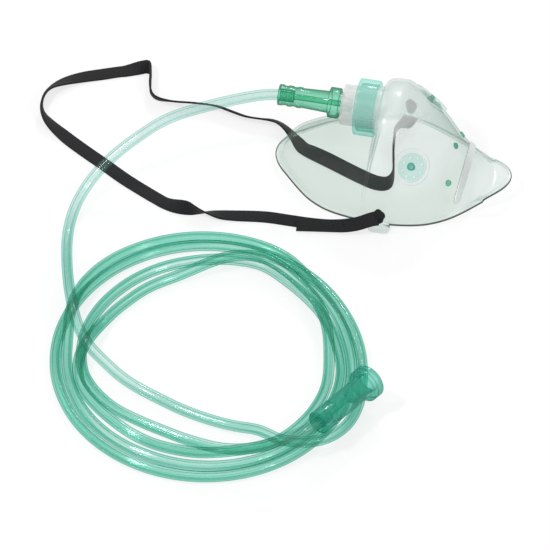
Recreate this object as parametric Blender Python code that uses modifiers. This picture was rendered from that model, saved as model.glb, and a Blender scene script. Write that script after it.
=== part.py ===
# Adult oxygen face mask lying on its rim, with its supply tube in a loose round coil and its head strap.
# Metres, +Z up. The origin is the middle of the mask's rim on the floor, +X runs towards the nose.

import math

import bmesh
import bpy
import numpy as np
from mathutils import Matrix, Vector

OBJECT_NAME = "oxygen_face_mask"

# Fits
FIT_GAP = 0.0003  # between pieces that touch
ROUND_SIDES = 28  # of a turned piece

# Mask shell
WALL = 0.0014
LIP_WIDTH = 0.0020  # the turned-out edge round the rim
ALONG_STEPS = 42  # facets from chin to nose
ACROSS_STEPS = 15  # facets from the ridge to one side
END_BOW_SPAN = 0.08  # share of the length over which an end bows out between its rims
FACE_FROM = 0.35  # share of the length where the port's top ends and the nose side starts
FACE_TO = 0.95
FACE_TRIES = 400

# Port and its pieces, all on one axis along X
PORT_Z = 0.0470
PORT_FACE_X = -0.0080
SPIGOT_BORE_R = 0.0113
SPIGOT_WALL = 0.0015
SPIGOT_LENGTH = 0.0105
COLLAR_WALL = 0.0022
COLLAR_FACE_GAP = 0.0010  # the port face is slightly bowed
COLLAR_LIP = 0.0012
NECK_WALL = 0.0014
NECK_OUT = 0.0078  # how far the neck stands out of the collar
NECK_IN = 0.0100  # how far it is pushed past the collar's lip
PORT_EDGE = 0.0008  # broken edges of the collar and the neck
BORE_OVERRUN = 0.0050

# Oxygen tube
TUBE_R = 0.0030
TUBE_PUSH = 0.0080  # how far the tube goes into a connector
TUBE_SPACING = 0.0150  # between the points along the tube

# Connector at the mask
NIPPLE_R = 0.0038
NIPPLE_LENGTH = 0.0050
STEM_R = 0.0062
STEM_LENGTH = 0.0015
FLANGE_R = 0.0083
FLANGE_LENGTH = 0.0056
BODY_R = 0.0060
BODY_END_R = 0.0053
BODY_LENGTH = 0.0152
GRIP_R = 0.0057
GRIP_LENGTH = 0.0125
GROOVE_DEPTH = 0.0004
AIRWAY_R = 0.0016
GRIP_EDGE = 0.0005

# Connector at the oxygen supply
SUPPLY_END = Vector((0.0022, -0.2066, 0.0187))  # middle of its tube end
SUPPLY_AIM = Vector((0.455, 0.887, -0.065))  # from the tube end to the mouth
SUPPLY_COLLAR_R = 0.0066
SUPPLY_COLLAR_LENGTH = 0.0090
SUPPLY_WAIST_R = 0.0056
SUPPLY_WAIST_LENGTH = 0.0030
SUPPLY_BODY_R = 0.0064
SUPPLY_BODY_LENGTH = 0.0255
SUPPLY_FLANGE_R = 0.0094
SUPPLY_FLANGE_LENGTH = 0.0060
SOCKET_R = 0.0056
SOCKET_END_R = 0.0042
SOCKET_DEPTH = 0.0170
SUPPLY_EDGE = 0.0006
TAIL_STRAIGHT = 0.0040  # of the tube outside it

# Coil of the tube
COIL_CENTRE = Vector((-0.0686, -0.1596, 0.0))
COIL_TURN = math.radians(12.0)  # of its long axis from +Y
COIL_OUTER_R = 0.0834
COIL_WIDTH = 0.0192
COIL_HEIGHT = 0.0120
COIL_OVAL = 1.06  # length over width
COIL_SIDES = 64
FLOOR_GAP = 0.0001

# Head strap
STRAP_WIDTH = 0.0080
STRAP_THICK = 0.0011
STRAP_SPACING = 0.0065
KNOT_LENGTH = 0.0072
KNOT_WIDTH = 0.0062
KNOT_HEIGHT = 0.0110
KNOT_ROUND = 0.0016

# Ears on the rim, which hold the strap
EAR_X = 0.0010
EAR_WIDTH = 0.0120
EAR_REACH = 0.0064  # beyond the lip
EAR_THICK = 0.0018
EAR_ROUND = 0.0030
SLOT_LENGTH = 0.0088
SLOT_WIDTH = 0.0020
SLOT_IN = 0.0032  # from the lip's edge to the slot's middle
SLOT_ROUND = 0.0009

# Cheek vents
VENT_X = 0.0157
VENT_SIDE = 0.0270  # from the plane of symmetry to the boss
VENT_R = 0.0100
VENT_PROUD = 0.0004
VENT_SUNK = 0.0030
VENT_HOLES = 8
VENT_HOLE_R = 0.0009
VENT_RING_R = 0.0056
VENT_CENTRE_R = 0.0017
VENT_HOLE_SIDES = 10
VENT_POCKET_DEPTH = 0.0100  # reaches well inside the shell

# Nose clip
CLIP_WIDTH = 0.0050
CLIP_THICK = 0.0008
CLIP_HALF_LENGTH = 0.0260
CLIP_X = 0.0405  # on the ridge
CLIP_GAP = 0.0005  # its facets and the shell's don't follow each other closely
CLIP_STEPS = 26
CLIP_REACH = 0.9  # share of the arch on which its ends are looked for
CLIP_TRIES = 201

# Half-width of the rim inside its lip, along X
RIM_WIDTHS = [
    (-0.0535, 0.0160),
    (-0.0470, 0.0222),
    (-0.0400, 0.0280),
    (-0.0320, 0.0322),
    (-0.0230, 0.0352),
    (-0.0120, 0.0377),
    (0.0, 0.0389),
    (0.0060, 0.0387),
    (0.0140, 0.0370),
    (0.0240, 0.0333),
    (0.0340, 0.0280),
    (0.0425, 0.0216),
    (0.0510, 0.0142),
]

# Height of the rim's underside above the floor, along X
RIM_LIFTS = [
    (-0.0535, 0.0030),
    (-0.0420, 0.0012),
    (-0.0280, 0.0),
    (-0.0090, 0.0013),
    (0.0010, 0.0018),
    (0.0100, 0.0013),
    (0.0250, 0.0),
    (0.0380, 0.0010),
    (0.0510, 0.0040),
]

# Arches of the shell from chin to nose: x and height of the ridge, x of the rim, and how square the arch is
ARCHES = [
    (-0.0625, 0.0054, -0.0535, 2.0),
    (-0.0608, 0.0105, -0.0525, 2.0),
    (-0.0575, 0.0145, -0.0505, 2.0),
    (-0.0535, 0.0170, -0.0470, 2.0),
    (-0.0480, 0.0184, -0.0425, 2.0),
    (-0.0420, 0.0195, -0.0375, 2.0),
    (-0.0355, 0.0208, -0.0325, 2.1),
    (-0.0285, 0.0226, -0.0270, 2.1),
    (-0.0210, 0.0248, -0.0215, 2.2),
    (PORT_FACE_X - 0.0055, 0.0268, -0.0165, 2.2),
    (PORT_FACE_X - 0.0012, 0.0285, -0.0130, 2.2),
    (PORT_FACE_X - 0.0001, 0.0345, -0.0115, 2.15),
    (PORT_FACE_X, 0.0430, -0.0105, 2.1),
    (PORT_FACE_X + 0.0002, 0.0515, -0.0092, 2.05),
    (PORT_FACE_X + 0.0012, 0.0575, -0.0075, 2.0),
    (PORT_FACE_X + 0.0045, 0.0602, -0.0050, 2.0),
    (0.0025, 0.0608, -0.0010, 2.0),
    (0.0060, 0.0600, 0.0025, 2.0),
    (0.0120, 0.0555, 0.0080, 1.95),
    (0.0180, 0.0505, 0.0140, 1.9),
    (0.0240, 0.0438, 0.0200, 1.8),
    (0.0295, 0.0358, 0.0260, 1.7),
    (0.0345, 0.0272, 0.0315, 1.6),
    (0.0400, 0.0190, 0.0370, 1.6),
    (0.0455, 0.0130, 0.0415, 1.6),
    (0.0505, 0.0085, 0.0455, 1.7),
    (0.0550, 0.0070, 0.0480, 1.9),
    (0.0590, 0.0080, 0.0497, 2.0),
    (0.0625, 0.0102, 0.0510, 2.0),
]

# Route of the tube from the mask's connector to the coil, which it passes over on the far left
LEAD_ROUTE = [
    (-0.0730, -0.0014, 0.0458),
    (-0.0894, -0.0065, 0.0428),
    (-0.1036, -0.0118, 0.0398),
    (-0.1162, -0.0169, 0.0365),
    (-0.1254, -0.0222, 0.0330),
    (-0.1329, -0.0282, 0.0290),
    (-0.1409, -0.0343, 0.0242),
    (-0.1473, -0.0402, 0.0195),
    (-0.1536, -0.0475, 0.0140),
    (-0.1581, -0.0560, 0.0092),
    (-0.1608, -0.0655, 0.0056),
    (-0.1612, -0.0769, 0.0040),
    (-0.1598, -0.0892, 0.0043),
    (-0.1566, -0.1042, 0.0068),
    (-0.1521, -0.1217, 0.0112),
    (-0.1462, -0.1408, 0.0155),
    (-0.1390, -0.1589, 0.0161),
    (-0.1300, -0.1729, 0.0156),
    (-0.1243, -0.1768, 0.0134),
    (-0.1191, -0.1792, 0.0106),
    (-0.1102, -0.1835, 0.0064),
    (-0.0992, -0.1877, 0.0038),
    (-0.0874, -0.1922, 0.0032),
    (-0.0755, -0.1970, 0.0032),
    (-0.0648, -0.2002, 0.0032),
    (-0.0516, -0.2032, 0.0036),
    (-0.0389, -0.2057, 0.0050),
    (-0.0273, -0.2079, 0.0072),
]

# Route of the tube's last stretch, from the top of the coil to the supply connector
TAIL_ROUTE = [
    (-0.0421, -0.2342, 0.0155),
    (-0.0291, -0.2291, 0.0157),
    (-0.0147, -0.2213, 0.0168),
]

# Route of the strap from the near ear round to the far one: x, y, height of its lower edge, and roll
STRAP_ROUTE = [
    (-0.0034, -0.0432, 0.0060, 40),
    (-0.0095, -0.0444, 0.0034, 12),
    (-0.0174, -0.0456, 0.0008, 0),
    (-0.0267, -0.0460, 0.0001, 0),
    (-0.0369, -0.0468, 0.0001, 0),
    (-0.0474, -0.0469, 0.0001, 0),
    (-0.0614, -0.0472, 0.0001, 0),
    (-0.0774, -0.0500, 0.0001, 5),
    (-0.0864, -0.0518, 0.0001, 20),
    (-0.0954, -0.0532, 0.0001, 65),
    (-0.1044, -0.0519, 0.0001, 130),
    (-0.1144, -0.0485, 0.0001, 176),
    (-0.1252, -0.0432, 0.0001, 180),
    (-0.1395, -0.0354, 0.0001, 180),
    (-0.1530, -0.0268, 0.0001, 180),
    (-0.1656, -0.0190, 0.0001, 180),
    (-0.1787, -0.0104, 0.0001, 185),
    (-0.1892, -0.0026, 0.0001, 215),
    (-0.1948, 0.0063, 0.0001, 265),
    (-0.1949, 0.0174, 0.0001, 300),
    (-0.1889, 0.0274, 0.0001, 335),
    (-0.1795, 0.0348, 0.0001, 355),
    (-0.1690, 0.0398, 0.0001, 360),
    (-0.1581, 0.0444, 0.0001, 360),
    (-0.1494, 0.0476, 0.0001, 385),
    (-0.1440, 0.0462, 0.0001, 445),
    (-0.1424, 0.0400, 0.0001, 450),
    (-0.1404, 0.0310, 0.0001, 455),
    (-0.1360, 0.0256, 0.0001, 480),
    (-0.1270, 0.0252, 0.0001, 494),
    (-0.1149, 0.0264, 0.0001, 494),
    (-0.1034, 0.0266, 0.0001, 494),
    (-0.0946, 0.0244, 0.0001, 494),
    (-0.0861, 0.0222, 0.0001, 494),
    (-0.0785, 0.0220, 0.0001, 494),
    (-0.0718, 0.0224, 0.0001, 498),
    (-0.0666, 0.0208, 0.0001, 520),
    (-0.0614, 0.0170, 0.0001, 538),
    (-0.0562, 0.0122, 0.0001, 546),
    (-0.0490, 0.0062, 0.0001, 562),
    (-0.0336, -0.0016, 0.0001, 582),
    (-0.0180, -0.0084, 0.0001, 584),
    (-0.0068, -0.0124, 0.0001, 590),
    (-0.0008, -0.0118, 0.0001, 612),
    (0.0009, -0.0062, 0.0001, 628),
    (-0.0006, 0.0030, 0.0001, 630),
    (-0.0028, 0.0130, 0.0001, 630),
    (-0.0040, 0.0220, 0.0001, 640),
    (-0.0039, 0.0285, 0.0001, 675),
    (-0.0022, 0.0342, 0.0001, 714),
    (-0.0002, 0.0394, 0.0001, 720),
    (0.0006, 0.0432, 0.0001, 720),
]

# Sizes that follow from the ones above
SPIGOT_R = SPIGOT_BORE_R + SPIGOT_WALL
SPIGOT_END_X = PORT_FACE_X - SPIGOT_LENGTH
COLLAR_BORE_R = SPIGOT_R + FIT_GAP
COLLAR_R = COLLAR_BORE_R + COLLAR_WALL
COLLAR_END_X = SPIGOT_END_X - FIT_GAP - COLLAR_LIP
NECK_R = SPIGOT_BORE_R - FIT_GAP
NECK_END_X = COLLAR_END_X - NECK_OUT
NECK_HOLE_R = NIPPLE_R + FIT_GAP
TUBE_BORE_R = TUBE_R + FIT_GAP
MASK_CONNECTOR_X = NECK_END_X - FIT_GAP
MASK_CONNECTOR_END_X = (
    MASK_CONNECTOR_X - STEM_LENGTH - FLANGE_LENGTH - BODY_LENGTH - GRIP_LENGTH
)
COIL_BEND_R = COIL_HEIGHT / 2

COLOURS = {
    "clear": ((0.80, 0.88, 0.85), 0.15, 0.0, 0.35),
    "pale_green": ((0.32, 0.72, 0.60), 0.25, 0.0, 0.8),
    "green": ((0.03, 0.42, 0.22), 0.2, 0.0, 0.9),
    "tube_green": ((0.30, 0.68, 0.55), 0.2, 0.0, 0.7),
    "black": ((0.02, 0.02, 0.023), 0.85, 0.0, 1.0),
    "aluminium": ((0.80, 0.81, 0.82), 0.35, 1.0, 1.0),
}


def clear_scene():
    for item in list(bpy.data.objects):
        bpy.data.objects.remove(item, do_unlink=True)


def new_collection(name):
    made = bpy.data.collections.new(name)
    bpy.context.scene.collection.children.link(made)
    return made


def new_material(node_name, finish):
    colour, roughness, metallic, alpha = COLOURS[finish]
    made = bpy.data.materials.new(node_name)
    made.use_nodes = True
    shader = made.node_tree.nodes["Principled BSDF"]
    shader.inputs["Base Color"].default_value = (*colour, 1.0)
    shader.inputs["Roughness"].default_value = roughness
    shader.inputs["Metallic"].default_value = metallic
    shader.inputs["Alpha"].default_value = alpha
    return made


def add_object(name, data, collection, finish=None):
    made = bpy.data.objects.new(name, data)
    collection.objects.link(made)
    if finish:
        made.data.materials.append(new_material(name, finish))
    else:
        made.hide_render = True
        made.display_type = "WIRE"
    return made


def shade(mesh):
    mesh.shade_smooth()
    mesh.set_sharp_from_angle(angle=math.radians(35))


def mesh_from(name, points, faces):
    mesh = bpy.data.meshes.new(name)
    mesh.from_pydata([tuple(p) for p in points], [], faces)
    work = bmesh.new()
    work.from_mesh(mesh)
    bmesh.ops.recalc_face_normals(work, faces=work.faces)
    work.to_mesh(mesh)
    work.free()
    return mesh


def smooth_through(points, spacing):
    """Points about one spacing apart on a smooth curve through the given ones."""
    rows = np.array(points, float)
    before = 2 * rows[0] - rows[1]
    after = 2 * rows[-1] - rows[-2]
    rows = np.vstack([before, rows, after])
    found = []
    for a, b, c, d in zip(rows, rows[1:], rows[2:], rows[3:]):
        steps = max(1, round(np.linalg.norm((c - b)[:3]) / spacing))
        for step in range(steps):
            found.append(curve_between(a, b, c, d, step / steps))
    found.append(rows[-2])
    return np.array(found)


def curve_between(a, b, c, d, t):
    straight = (c - a) * t + (2 * a - 5 * b + 4 * c - d) * t**2
    return b + 0.5 * (straight + (3 * b - a - 3 * c + d) * t**3)


def turned(name, profile, collection, finish=None, axis="X", sides=ROUND_SIDES):
    """A solid turned about its own X or Z axis from (along, radius) points that run round its section."""
    pairs = list(zip(profile, profile[1:] + profile[:1]))
    area = sum(a[0] * b[1] - b[0] * a[1] for a, b in pairs)
    if area < 0:
        profile = profile[::-1]
    work = bmesh.new()
    if axis == "X":
        points = [work.verts.new((along, 0.0, radius)) for along, radius in profile]
    else:
        points = [work.verts.new((radius, 0.0, along)) for along, radius in profile]
    for first, second in zip(points, points[1:] + points[:1]):
        work.edges.new((first, second))
    mesh = bpy.data.meshes.new(name)
    work.to_mesh(mesh)
    work.free()
    made = add_object(name, mesh, collection, finish)
    screw = made.modifiers.new("turn", "SCREW")
    screw.axis = axis
    screw.steps = sides
    screw.render_steps = sides
    screw.use_merge_vertices = True
    screw.merge_threshold = 0.00001
    return made


def boolean(item, cutter, operation):
    modifier = item.modifiers.new(f"{operation.lower()} {cutter.name}", "BOOLEAN")
    modifier.operation = operation
    modifier.object = cutter
    modifier.solver = "EXACT"


def rim_value(table, x):
    """A value of the rim at x, on a smooth curve through the table's points."""
    rows = np.array(table)
    at = int(np.clip(np.searchsorted(rows[:, 0], x) - 1, 0, len(rows) - 2))
    before = rows[at - 1] if at else 2 * rows[0] - rows[1]
    after = rows[at + 2] if at + 2 < len(rows) else 2 * rows[-1] - rows[-2]
    b, c = rows[at], rows[at + 1]
    t = (x - b[0]) / (c[0] - b[0])
    slope_b = (c[1] - before[1]) / (c[0] - before[0]) * (c[0] - b[0])
    slope_c = (after[1] - b[1]) / (after[0] - b[0]) * (c[0] - b[0])
    rise = (3 * t**2 - 2 * t**3) * (c[1] - b[1])
    return b[1] + rise + (t**3 - 2 * t**2 + t) * slope_b + (t**3 - t**2) * slope_c


def shell_point(along, across):
    """A point of the shell's outer face: along runs from chin to nose, across from the ridge to the rim."""
    rows = np.array(ARCHES)
    place = along * (len(rows) - 1)
    at = min(int(place), len(rows) - 2)
    before = rows[at - 1] if at else 2 * rows[0] - rows[1]
    after = rows[at + 2] if at + 2 < len(rows) else 2 * rows[-1] - rows[-2]
    arch = curve_between(before, rows[at], rows[at + 1], after, place - at)
    ridge_x, ridge_z, rim_x, square = arch
    half = shell_half(rim_x)
    foot = rim_value(RIM_LIFTS, rim_x) + WALL
    angle = abs(across) * math.pi / 2
    rise = math.cos(angle) ** (2 / square) if abs(across) < 1 else 0.0
    side = math.copysign(half * math.sin(angle) ** (2 / square), across)
    near_end = max(0.0, 1 - min(along, 1 - along) / END_BOW_SPAN)
    x = rim_x + (ridge_x - rim_x) * rise ** (1 + near_end)
    return Vector((x, side, foot + (ridge_z - foot) * rise))


def shell_half(x):
    """Half-width of the shell's outer face at the rim."""
    return rim_value(RIM_WIDTHS, x)


def shell_normal(along, across):
    step = 0.002
    first = shell_point(min(along + step, 1), across) - shell_point(max(along - step, 0), across)
    second = shell_point(along, across + step) - shell_point(along, across - step)
    normal = first.cross(second).normalized()
    return normal if normal.z > 0 else -normal


def nearest_along(wanted, across):
    """How far along the shell its face at this place across has the wanted x."""
    tries = np.linspace(FACE_FROM, FACE_TO, FACE_TRIES)
    misses = [abs(shell_point(t, across).x - wanted) for t in tries]
    return float(tries[int(np.argmin(misses))])


def shell_sheet():
    """Half of the shell's outer face with the turned-out lip, open at the plane of symmetry."""
    alongs = np.linspace(0, 1, ALONG_STEPS + 1)
    acrosses = np.linspace(0, 1, ACROSS_STEPS + 1)
    grid = [[shell_point(t, s) for s in acrosses] for t in alongs]
    points = [p for row in grid for p in row]
    wide = len(acrosses)
    faces = []
    for i in range(len(alongs) - 1):
        for j in range(wide - 1):
            a = i * wide + j
            faces.append((a, a + wide, a + wide + 1, a + 1))
    edge = [j for j in range(wide)]
    edge += [i * wide + wide - 1 for i in range(1, len(alongs))]
    edge += [(len(alongs) - 1) * wide + j for j in range(wide - 2, -1, -1)]
    lip = []
    for n, index in enumerate(edge):
        before, after = points[edge[max(n - 1, 0)]], points[edge[min(n + 1, len(edge) - 1)]]
        way = after - before
        out = Vector((-way.y, way.x, 0)).normalized()
        if n in (0, len(edge) - 1):
            out = Vector((math.copysign(1, points[index].x), 0, 0))
        lip.append(len(points))
        points.append(points[index] + out * LIP_WIDTH)
    for n in range(len(edge) - 1):
        faces.append((edge[n], edge[n + 1], lip[n + 1], lip[n]))
    return mesh_from("shell_sheet", points, faces)


def turn_to(direction):
    """The turn that lays +X along a direction."""
    return Vector(direction).normalized().to_track_quat("X", "Z").to_matrix().to_4x4()


def cylinder(name, radius, start, end, collection, place, sides=ROUND_SIDES):
    """A closed cylinder along X from start to end, then moved to its place."""
    mesh = bpy.data.meshes.new(name)
    work = bmesh.new()
    lay = Matrix.Translation(((start + end) / 2, 0, 0)) @ Matrix.Rotation(math.pi / 2, 4, "Y")
    bmesh.ops.create_cone(
        work,
        cap_ends=True,
        segments=sides,
        radius1=radius,
        radius2=radius,
        depth=end - start,
        matrix=place @ lay,
    )
    work.to_mesh(mesh)
    work.free()
    return add_object(name, mesh, collection)


def vent_cutters(side, cutters):
    """The boss, pocket and holes of one cheek vent."""
    across = side * 2 / math.pi * math.asin(min(1.0, VENT_SIDE / shell_half(VENT_X)))
    along = nearest_along(VENT_X, across)
    centre = shell_point(along, across)
    normal = shell_normal(along, across)
    place = Matrix.Translation(centre) @ turn_to(normal)
    label = "near" if side < 0 else "far"
    boss = cylinder(f"vent_boss_{label}", VENT_R, -VENT_SUNK, VENT_PROUD, cutters, place)
    pocket = cylinder(
        f"vent_pocket_{label}", VENT_R - WALL, -VENT_POCKET_DEPTH, VENT_PROUD - WALL, cutters, place
    )
    work = bmesh.new()
    lay = Matrix.Rotation(math.pi / 2, 4, "Y")
    spots = [(0.0, 0.0, VENT_CENTRE_R)]
    for n in range(VENT_HOLES):
        turn = 2 * math.pi * n / VENT_HOLES
        spots.append((VENT_RING_R * math.cos(turn), VENT_RING_R * math.sin(turn), VENT_HOLE_R))
    for y, z, radius in spots:
        bmesh.ops.create_cone(
            work,
            cap_ends=True,
            segments=VENT_HOLE_SIDES,
            radius1=radius,
            radius2=radius,
            depth=4 * WALL,
            matrix=place @ Matrix.Translation((VENT_PROUD, y, z)) @ lay,
        )
    mesh = bpy.data.meshes.new("vent_holes")
    work.to_mesh(mesh)
    work.free()
    holes = add_object(f"vent_holes_{label}", mesh, cutters)
    return boss, pocket, holes


def rounded_block(name, size, radius, place, cutters):
    """A block whose upright corners are rounded."""
    mesh = bpy.data.meshes.new(name)
    work = bmesh.new()
    bmesh.ops.create_cube(work, size=1, matrix=Matrix.Diagonal((*size, 1)))
    upright = [e for e in work.edges if abs(e.verts[0].co.z - e.verts[1].co.z) > size[2] / 2]
    bmesh.ops.bevel(
        work, geom=upright, offset=radius, offset_type="OFFSET", segments=4, profile=0.5, affect="EDGES"
    )
    bmesh.ops.transform(work, matrix=place, verts=work.verts)
    work.to_mesh(mesh)
    work.free()
    return add_object(name, mesh, cutters)


def ear_places():
    """For each side: its name, the middle of the ear's slot and the height of the ear's underside."""
    edge = shell_half(EAR_X) + LIP_WIDTH
    lift = rim_value(RIM_LIFTS, EAR_X)
    return [("near", -1, edge, lift), ("far", 1, edge, lift)]


def make_mask_shell(parts, cutters):
    shell = add_object("mask_shell", shell_sheet(), parts, "clear")
    mirror = shell.modifiers.new("mirror", "MIRROR")
    mirror.use_axis = (False, True, False)
    mirror.merge_threshold = 0.00005
    wall = shell.modifiers.new("wall", "SOLIDIFY")
    wall.thickness = WALL
    wall.offset = -1
    axis = Matrix.Translation((0, 0, PORT_Z))
    spigot = cylinder(
        "port_spigot", SPIGOT_R, SPIGOT_END_X, PORT_FACE_X + WALL, cutters, axis
    )
    boolean(shell, spigot, "UNION")
    bore = cylinder(
        "port_bore", SPIGOT_BORE_R, SPIGOT_END_X - WALL, PORT_FACE_X + BORE_OVERRUN, cutters, axis
    )
    boolean(shell, bore, "DIFFERENCE")
    for side in (-1, 1):
        boss, pocket, holes = vent_cutters(side, cutters)
        boolean(shell, boss, "UNION")
        boolean(shell, pocket, "DIFFERENCE")
        boolean(shell, holes, "DIFFERENCE")
    for label, side, edge, lift in ear_places():
        root = edge - LIP_WIDTH / 2
        length = edge + EAR_REACH - root
        middle = Matrix.Translation((EAR_X, side * (root + length / 2), lift + EAR_THICK / 2))
        ear = rounded_block(
            f"ear_{label}", (EAR_WIDTH, length, EAR_THICK), EAR_ROUND, middle, cutters
        )
        boolean(shell, ear, "UNION")
        slot_at = Matrix.Translation((EAR_X, side * (edge + SLOT_IN), lift + EAR_THICK / 2))
        slot = rounded_block(
            f"slot_{label}",
            (SLOT_LENGTH, SLOT_WIDTH, 3 * EAR_THICK),
            SLOT_ROUND,
            slot_at,
            cutters,
        )
        boolean(shell, slot, "DIFFERENCE")
    shade(shell.data)
    return shell


def make_nose_clip(parts):
    """A soft metal strip bent over the nose, following the shell's outer face."""
    reach = np.linspace(-CLIP_REACH, CLIP_REACH, CLIP_TRIES)
    ridge_along = nearest_along(CLIP_X, 0.0)
    line = [shell_point(ridge_along, s) for s in reach]
    lengths = np.concatenate([[0], np.cumsum([(b - a).length for a, b in zip(line, line[1:])])])
    lengths -= lengths[len(line) // 2]
    stops = np.linspace(-CLIP_HALF_LENGTH, CLIP_HALF_LENGTH, CLIP_STEPS + 1)
    acrosses = np.interp(stops, lengths, reach)
    step = 0.01
    ridge = shell_point(ridge_along + step, 0) - shell_point(ridge_along - step, 0)
    half = CLIP_WIDTH * step / ridge.length
    points = []
    for across in acrosses:
        for along in (ridge_along - half, ridge_along, ridge_along + half):
            points.append(shell_point(along, across) + shell_normal(along, across) * CLIP_GAP)
    faces = []
    for i in range(CLIP_STEPS):
        for j in range(2):
            a = i * 3 + j
            faces.append((a, a + 1, a + 4, a + 3))
    mesh = mesh_from("nose_clip", points, faces)
    if mesh.polygons[0].normal.z < 0:
        mesh.flip_normals()
    clip = add_object("nose_clip", mesh, parts, "aluminium")
    strip = clip.modifiers.new("strip", "SOLIDIFY")
    strip.thickness = CLIP_THICK
    strip.offset = 1
    return clip


def make_port_pieces(parts):
    inner = PORT_FACE_X - COLLAR_FACE_GAP
    soft = PORT_EDGE
    collar = turned(
        "port_collar",
        [
            (inner, COLLAR_BORE_R),
            (inner, COLLAR_R - soft),
            (inner - soft, COLLAR_R),
            (COLLAR_END_X + soft, COLLAR_R),
            (COLLAR_END_X, COLLAR_R - soft),
            (COLLAR_END_X, NECK_R + FIT_GAP),
            (COLLAR_END_X + COLLAR_LIP, NECK_R + FIT_GAP),
            (COLLAR_END_X + COLLAR_LIP, COLLAR_BORE_R),
        ],
        parts,
        "pale_green",
        sides=36,
    )
    neck_in = COLLAR_END_X + NECK_IN
    neck = turned(
        "port_neck",
        [
            (neck_in, NECK_R - NECK_WALL),
            (neck_in, NECK_R),
            (NECK_END_X + soft, NECK_R),
            (NECK_END_X, NECK_R - soft),
            (NECK_END_X, NECK_HOLE_R),
            (NECK_END_X + NECK_WALL, NECK_HOLE_R),
            (NECK_END_X + NECK_WALL, NECK_R - NECK_WALL),
        ],
        parts,
        "clear",
    )
    for piece in (collar, neck):
        piece.location.z = PORT_Z
    return collar, neck


def make_mask_connector(parts):
    nipple = MASK_CONNECTOR_X + NIPPLE_LENGTH
    stem = MASK_CONNECTOR_X - STEM_LENGTH
    flange = stem - FLANGE_LENGTH
    body = flange - BODY_LENGTH
    end = MASK_CONNECTOR_END_X
    bore = end + TUBE_PUSH + FIT_GAP
    soft = GRIP_EDGE
    groove = GRIP_LENGTH / 5
    profile = [
        (nipple, AIRWAY_R),
        (nipple, NIPPLE_R),
        (MASK_CONNECTOR_X, NIPPLE_R),
        (MASK_CONNECTOR_X, STEM_R),
        (stem, STEM_R),
        (stem, FLANGE_R - soft),
        (stem - soft, FLANGE_R),
        (flange + soft, FLANGE_R),
        (flange, FLANGE_R - soft),
        (flange, BODY_R),
        (body, BODY_END_R),
        (body, GRIP_R),
    ]
    for n in (1, 3):
        profile += [
            (body - n * groove, GRIP_R),
            (body - n * groove, GRIP_R - GROOVE_DEPTH),
            (body - (n + 1) * groove, GRIP_R - GROOVE_DEPTH),
            (body - (n + 1) * groove, GRIP_R),
        ]
    profile += [
        (end + soft, GRIP_R),
        (end, GRIP_R - soft),
        (end, TUBE_BORE_R),
        (bore, TUBE_BORE_R),
        (bore, AIRWAY_R),
    ]
    made = turned("mask_connector", profile, parts, "green")
    made.location.z = PORT_Z
    return made


def make_supply_connector(parts):
    """The wide-mouthed connector, turned along its own X from the tube end to the mouth."""
    soft = SUPPLY_EDGE
    collar = SUPPLY_COLLAR_LENGTH
    waist = collar + SUPPLY_WAIST_LENGTH
    body = waist + SUPPLY_BODY_LENGTH
    mouth = body + SUPPLY_FLANGE_LENGTH
    bore = TUBE_PUSH + FIT_GAP
    made = turned(
        "supply_connector",
        [
            (0, TUBE_BORE_R),
            (0, SUPPLY_COLLAR_R - soft),
            (soft, SUPPLY_COLLAR_R),
            (collar, SUPPLY_COLLAR_R),
            (collar, SUPPLY_WAIST_R),
            (waist, SUPPLY_WAIST_R),
            (waist, SUPPLY_BODY_R - soft),
            (waist + soft, SUPPLY_BODY_R),
            (body, SUPPLY_BODY_R),
            (body, SUPPLY_FLANGE_R - soft),
            (body + soft, SUPPLY_FLANGE_R),
            (mouth - soft, SUPPLY_FLANGE_R),
            (mouth, SUPPLY_FLANGE_R - soft),
            (mouth, SOCKET_R),
            (mouth - SOCKET_DEPTH, SOCKET_END_R),
            (mouth - SOCKET_DEPTH, AIRWAY_R),
            (bore, AIRWAY_R),
            (bore, TUBE_BORE_R),
        ],
        parts,
        "green",
    )
    made.matrix_world = Matrix.Translation(SUPPLY_END) @ turn_to(SUPPLY_AIM)
    return made


def make_tube(name, route, parts):
    line = bpy.data.curves.new(name, "CURVE")
    line.dimensions = "3D"
    line.bevel_depth = TUBE_R
    line.bevel_resolution = 3
    line.use_fill_caps = True
    points = smooth_through(route, TUBE_SPACING)
    spline = line.splines.new("POLY")
    spline.points.add(len(points) - 1)
    for point, place in zip(spline.points, points):
        point.co = (*place, 1.0)
    return add_object(name, line, parts, "tube_green")


def make_tubes(parts):
    start = MASK_CONNECTOR_END_X + TUBE_PUSH
    lead = [(start, 0, PORT_Z), (MASK_CONNECTOR_END_X, 0, PORT_Z)] + LEAD_ROUTE
    aim = SUPPLY_AIM.normalized()
    tail = TAIL_ROUTE + [SUPPLY_END - aim * TAIL_STRAIGHT, SUPPLY_END + aim * TUBE_PUSH]
    return (
        make_tube("oxygen_tube_lead", lead, parts),
        make_tube("oxygen_tube_tail", [tuple(p) for p in tail], parts),
    )


def make_coil(parts):
    """The loose coil as one turned ring with round edges."""
    inner = COIL_OUTER_R - COIL_WIDTH
    ring = []
    for centre, start in ((COIL_OUTER_R - COIL_BEND_R, 90), (inner + COIL_BEND_R, -90)):
        for n in range(5):
            turn = math.radians(start - 45 * n)
            ring.append((COIL_BEND_R * math.sin(turn), centre + COIL_BEND_R * math.cos(turn)))
    coil = turned("tube_coil", ring, parts, "tube_green", axis="Z", sides=COIL_SIDES)
    coil.location = COIL_CENTRE + Vector((0, 0, COIL_BEND_R + FLOOR_GAP))
    coil.rotation_euler.z = COIL_TURN
    coil.scale.y = COIL_OVAL
    return coil


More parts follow.
